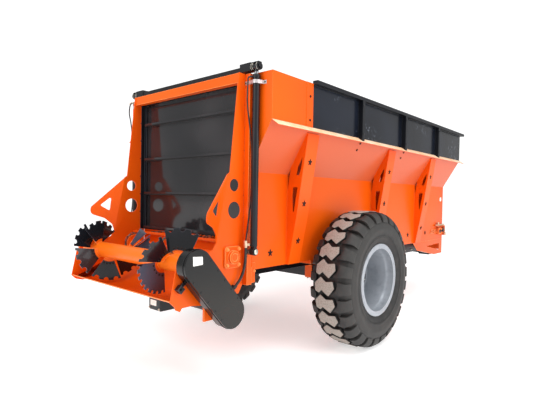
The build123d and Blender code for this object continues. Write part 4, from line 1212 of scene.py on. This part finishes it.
# %% Band of the case
def case_band(name, outer, inner, y, depth):
    """A flat ring round the case: a solid outline whose middle is inset and taken through."""
    band = outline(name, case_outline(outer, y))
    thickened(band, (0, depth, 0))
    open_all(band)
    for face_y in (y, y + depth / MM):
        pick_faces(band, lambda centre, normal: abs(centre.y - face_y * MM) < 1e-5)
        bpy.ops.mesh.inset(thickness=(outer - inner) * MM)
    pick_faces(band, lambda centre, normal: abs(normal.y) > 0.9 and
               (centre - case_middle).xz.length < 0.02)
    bpy.ops.mesh.bridge_edge_loops()
    close_up(band)
    return rounded(band, 1.2 * MM, 2, 40)


settled(case_band("case_seam", CASE_R + 4, CASE_R - 3, -842, 5 * MM), "machine", frame_black)
print("case band made")

# %% Cover bolts
COVER_ROWS = 5
BOLT_OUT = 104              # from the case's middle line out to its bolts
cover_bolts = []
for i in range(COVER_ROWS):
    share = (i + 0.5) / COVER_ROWS
    for offset in (-BOLT_OUT, BOLT_OUT):
        x = ROTOR[0] + share * (CASE_LOW[0] - ROTOR[0]) - math.sin(CASE_LEAN) * offset
        z = ROTOR[1] + share * (CASE_LOW[1] - ROTOR[1]) + math.cos(CASE_LEAN) * offset
        cover_bolts.append(fastener("dome", 6, place(x, -866, z), RIGHT))
settled(joined(cover_bolts, "case_bolts"), "machine", frame_black)
print(len(cover_bolts), "cover bolts")

# %% [markdown]
# ## Wheel nuts and hub caps
#
# Ten studs hold each wheel. The frame gives the studs; here each gets a hexagon nut
# with a cone seat, and the hub gets a cap with six small screws. A valve stands in the
# barrel of the rim, on one side only, and shows how far the wheel has turned.

# %% Nuts, cap and valve
STUD_R, DISC_FACE, HUB_END = 167.5, 929, 1032
VALVE_TURN = 2.2            # about the axle, in radians


def nuts_and_screws(side):
    nuts = [turned_part("wheel_nut", place(x, side * DISC_FACE, z), place(x, side * 944, z),
                        (23, 23, 19.5, 20.5, 20.5, 18.5), NUT)
            for x, z in circle(*AXLE, STUD_R, 10)]
    screws = [fastener("bolt", 8, place(x, side * HUB_END, z), (0, side, 0))
              for x, z in circle(*AXLE, 62, 6, 0.5)]
    return nuts + screws


def cap_and_valve(side):
    x, z = AXLE
    cap = turned_part("cap", place(x, side * 1030, z), place(x, side * 1041, z),
                      (46, 46, 44, 30, 8), 40)
    x, z = x + 281 * math.cos(VALVE_TURN), z + 281 * math.sin(VALVE_TURN)
    valve = turned_part("valve", place(x, side * 925, z), place(x, side * 962, z),
                        (8, 6, 4.5, 4.5, 6, 6, 5), 12)
    return [cap, valve]


print("the stud circle is", 2 * STUD_R, "mm across")

# %% [markdown]
# A bead of weld runs where the wheel's disc meets its barrel. It is a thin ring, and a
# small step is inset into every second stretch of it, as a weld laid in short runs has.

# %% Weld of the wheel disc
RUN_TURN = 3.75             # degrees from one short run to the next


def disc_weld(name, side):
    bead = fresh("torus", name, major_segments=96, minor_segments=6, major_radius=297 * MM,
                 minor_radius=5 * MM, location=place(AXLE[0], side * DISC_FACE, AXLE[1]),
                 rotation=(math.pi / 2, 0, 0))
    only(bead)
    bpy.ops.object.transform_apply(location=True, rotation=True)
    open_all(bead)
    pick_faces(bead, lambda centre, normal: int(math.degrees(math.atan2(
        centre.z - wheel_z, centre.x - wheel_x)) / RUN_TURN) % 2 == 0)
    bpy.ops.mesh.inset(thickness=1 * MM, depth=0.8 * MM)
    return close_up(bead)


print("a short run of weld every", RUN_TURN, "degrees")

# %% Both wheels
for name, side in SIDES.items():
    wheel = f"wheel_{name}"
    nut_ring, caps = nuts_and_screws(side), cap_and_valve(side)
    bead = disc_weld(f"disc_weld_{name}", side)
    settled(joined(nut_ring, f"wheel_nuts_{name}"), wheel, zinc)
    settled(joined(caps, f"hub_cap_{name}"), wheel, frame_black)
    settled(bead, wheel, silver)
    print(wheel, "has", len(nut_ring), "nuts and screws")

# %% [markdown]
# ## Weld beads
#
# The box is welded, and each seam leaves a thin rippled bead, later painted over. A bead
# is a turned bar whose radius goes up and down once for each pool of weld, half sunk
# into the corner between two plates.

# %% Beads on the box
WELD_STEP = 9
WALL_BENDS = ((WALL, 880), (WALL, FOLD_Z), (962, 2030))     # out from the middle, height
FRONT_WALL_X = 4346
seams = []
for side in SIDES.values():
    for rib_x in RIBS_X:
        for x in (rib_x, rib_x + 2 * RIB_MIDDLE):
            for low, high in zip(WALL_BENDS, WALL_BENDS[1:]):
                seams.append((place(x, side * low[0], low[1]), place(x, side * high[0], high[1])))
    seams.append((place(FRONT_WALL_X, side * 742, 880), place(FRONT_WALL_X, side * 742, 1670)))
    seams.append((place(0, side * 800, 900), place(0, side * 800, 2300)))
    seams.append((place(FRONT_WALL_X, side * 100, 872), place(FRONT_WALL_X, side * 700, 872)))
welds = []
for start, end in seams:
    steps = int((end - start).length / MM / WELD_STEP / 2)
    welds.append(turned_part("weld", start, end, (3, 4.2) * steps, 6))
settled(joined(welds, "weld_beads"), "machine", orange, 60)
print(len(seams), "seams")

# %% [markdown]
# ## Jack handle and driveline ends
#
# The crank of the jack ends in a rubber grip with finger rings. The driveline's guard is
# a plastic tube, with a ribbed cone at each end where the joint bends.

# %% Grip and guard cones
CRANK_Z = 940
TAIL_JOINT, CARRIER = Vector((-100, 0, 589)), Vector((1150, 0, 782))
crank_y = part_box("jack_tube")[1].y / MM - 10
grip = turned_part("jack_grip", place(4752, crank_y, CRANK_Z), place(4842, crank_y, CRANK_Z),
                   (14, 17, 17, 14.5, 16, 14.5, 16, 14.5, 16, 14.5, 17, 17, 14))
slope = (CARRIER - TAIL_JOINT).normalized()
cones = []
for joint, way, length in ((TAIL_JOINT, slope, 96), (TAIL_JOINT, Vector(BACK), 44),
                           (CARRIER, -slope, 96), (CARRIER, Vector(FRONT), 96)):
    near, far = joint + way * 10, joint + way * length
    cones.append(turned_part("guard_cone", place(*near), place(*far),
                             (50, 53, 50, 49, 47, 48, 44, 45, 40, 41, 36, 34), FINE))
settled(joined([grip] + cones, "grip_and_guards"), "machine", hose_black)
print(len(cones), "guard cones")

# %% [markdown]
# The unit bolts and the plug were only patterns. They ride on nothing, so they are
# removed before the scene is finished.

# %% Patterns are put away
for piece in PATTERNS.values():
    discard(piece)
print(len(PATTERNS), "patterns removed")

# %% [markdown]
# ## Camera
#
# The camera stands behind the machine, a little to its right and at about the height of
# a person's chest. It is placed from its direction, a slight dip and a slight
# lean, which is plainer than a constraint that follows a target.

# %% Camera
CAMERA = (-5.137, -3.229, 1.471)
YAW, DIP, ROLL = (math.radians(angle) for angle in (40.64, 1.18, 1.03))
LENS = 28.55                # millimetres, on a sensor 36 mm wide

forward = Vector((math.cos(YAW) * math.cos(DIP), math.sin(YAW) * math.cos(DIP), -math.sin(DIP)))
sideways = Vector((math.sin(YAW), -math.cos(YAW), 0))
upright = sideways.cross(forward)
right = sideways * math.cos(ROLL) + upright * math.sin(ROLL)
up = right.cross(forward)
camera_data = bpy.data.cameras.new("camera")
camera_data.lens = LENS
camera = bpy.data.objects.new("camera", camera_data)
bpy.context.scene.collection.objects.link(camera)
turn = Matrix((right, up, -forward)).transposed().to_4x4()
camera.matrix_world = Matrix.Translation(CAMERA) @ turn
bpy.context.scene.camera = camera
print("lens", LENS, "mm")

# %% [markdown]
# ## Studio
#
# The machine stands on a pale floor in soft light. The floor gives a little light of its
# own, so that it stays white around the soft shadow. The sky is brighter to the eye than
# to the machine, which keeps the paint from washing out.


# %% Floor and sky
def pale_floor():
    finish = Finish("pale_floor")
    cloud = finish.noise(0.7, detail=3)
    colour = finish.blend(cloud, (0.88, 0.88, 0.88), (0.92, 0.92, 0.92))
    return finish.look(Base_Color=colour, Roughness=0.8, Emission_Color=(1.0, 1.0, 1.0),
                       Emission_Strength=0.5)


bpy.ops.mesh.primitive_plane_add(size=160, location=(0, 0, -0.001))
floor = bpy.context.object
floor.name = "studio_floor"
floor.data.materials.append(pale_floor())

BACKDROP = 1.15             # what the eye sees behind the machine
AMBIENT = 0.63              # what the machine itself receives
world = bpy.data.worlds.new("studio")
bpy.context.scene.world = world
world.use_nodes = True
sky = world.node_tree
seen = sky.nodes.new("ShaderNodeLightPath")
strength = sky.nodes.new("ShaderNodeMapRange")
strength.inputs["To Min"].default_value = AMBIENT
strength.inputs["To Max"].default_value = BACKDROP
sky.links.new(seen.outputs["Is Camera Ray"], strength.inputs["Value"])
sky.links.new(strength.outputs[0], sky.nodes["Background"].inputs["Strength"])
sky.nodes["Background"].inputs["Color"].default_value = (1, 1, 1, 1)
bpy.context.scene.view_settings.view_transform = "Standard"
print("floor and sky made")

# %% [markdown]
# Three large square lamps do the rest. The one overhead gives the even tone of a studio,
# the one behind brightens the tail, and the one at the side opens the ribs' shadows.

# %% Lamps
LAMPS = (                   # name, place, aim, size, watts
    ("sky panel", (-3.0, -3.0, 9.0), (0, 0, 1.0), 8.0, 620),
    ("tail panel", (-9.0, 1.0, 4.5), (-2.5, 0, 1.4), 5.0, 150),
    ("side panel", (0.0, -10.0, 4.0), (0.0, -1.0, 1.3), 6.0, 300),
)
for name, stand, aim, size, watts in LAMPS:
    data = bpy.data.lights.new(name, "AREA")
    data.shape = "SQUARE"
    data.size = size
    data.energy = watts
    lamp = bpy.data.objects.new(name, data)
    lamp.location = stand
    lamp.rotation_euler = (Vector(aim) - Vector(stand)).to_track_quat("-Z", "Y").to_euler()
    bpy.context.scene.collection.objects.link(lamp)
print(len(LAMPS), "lamps")
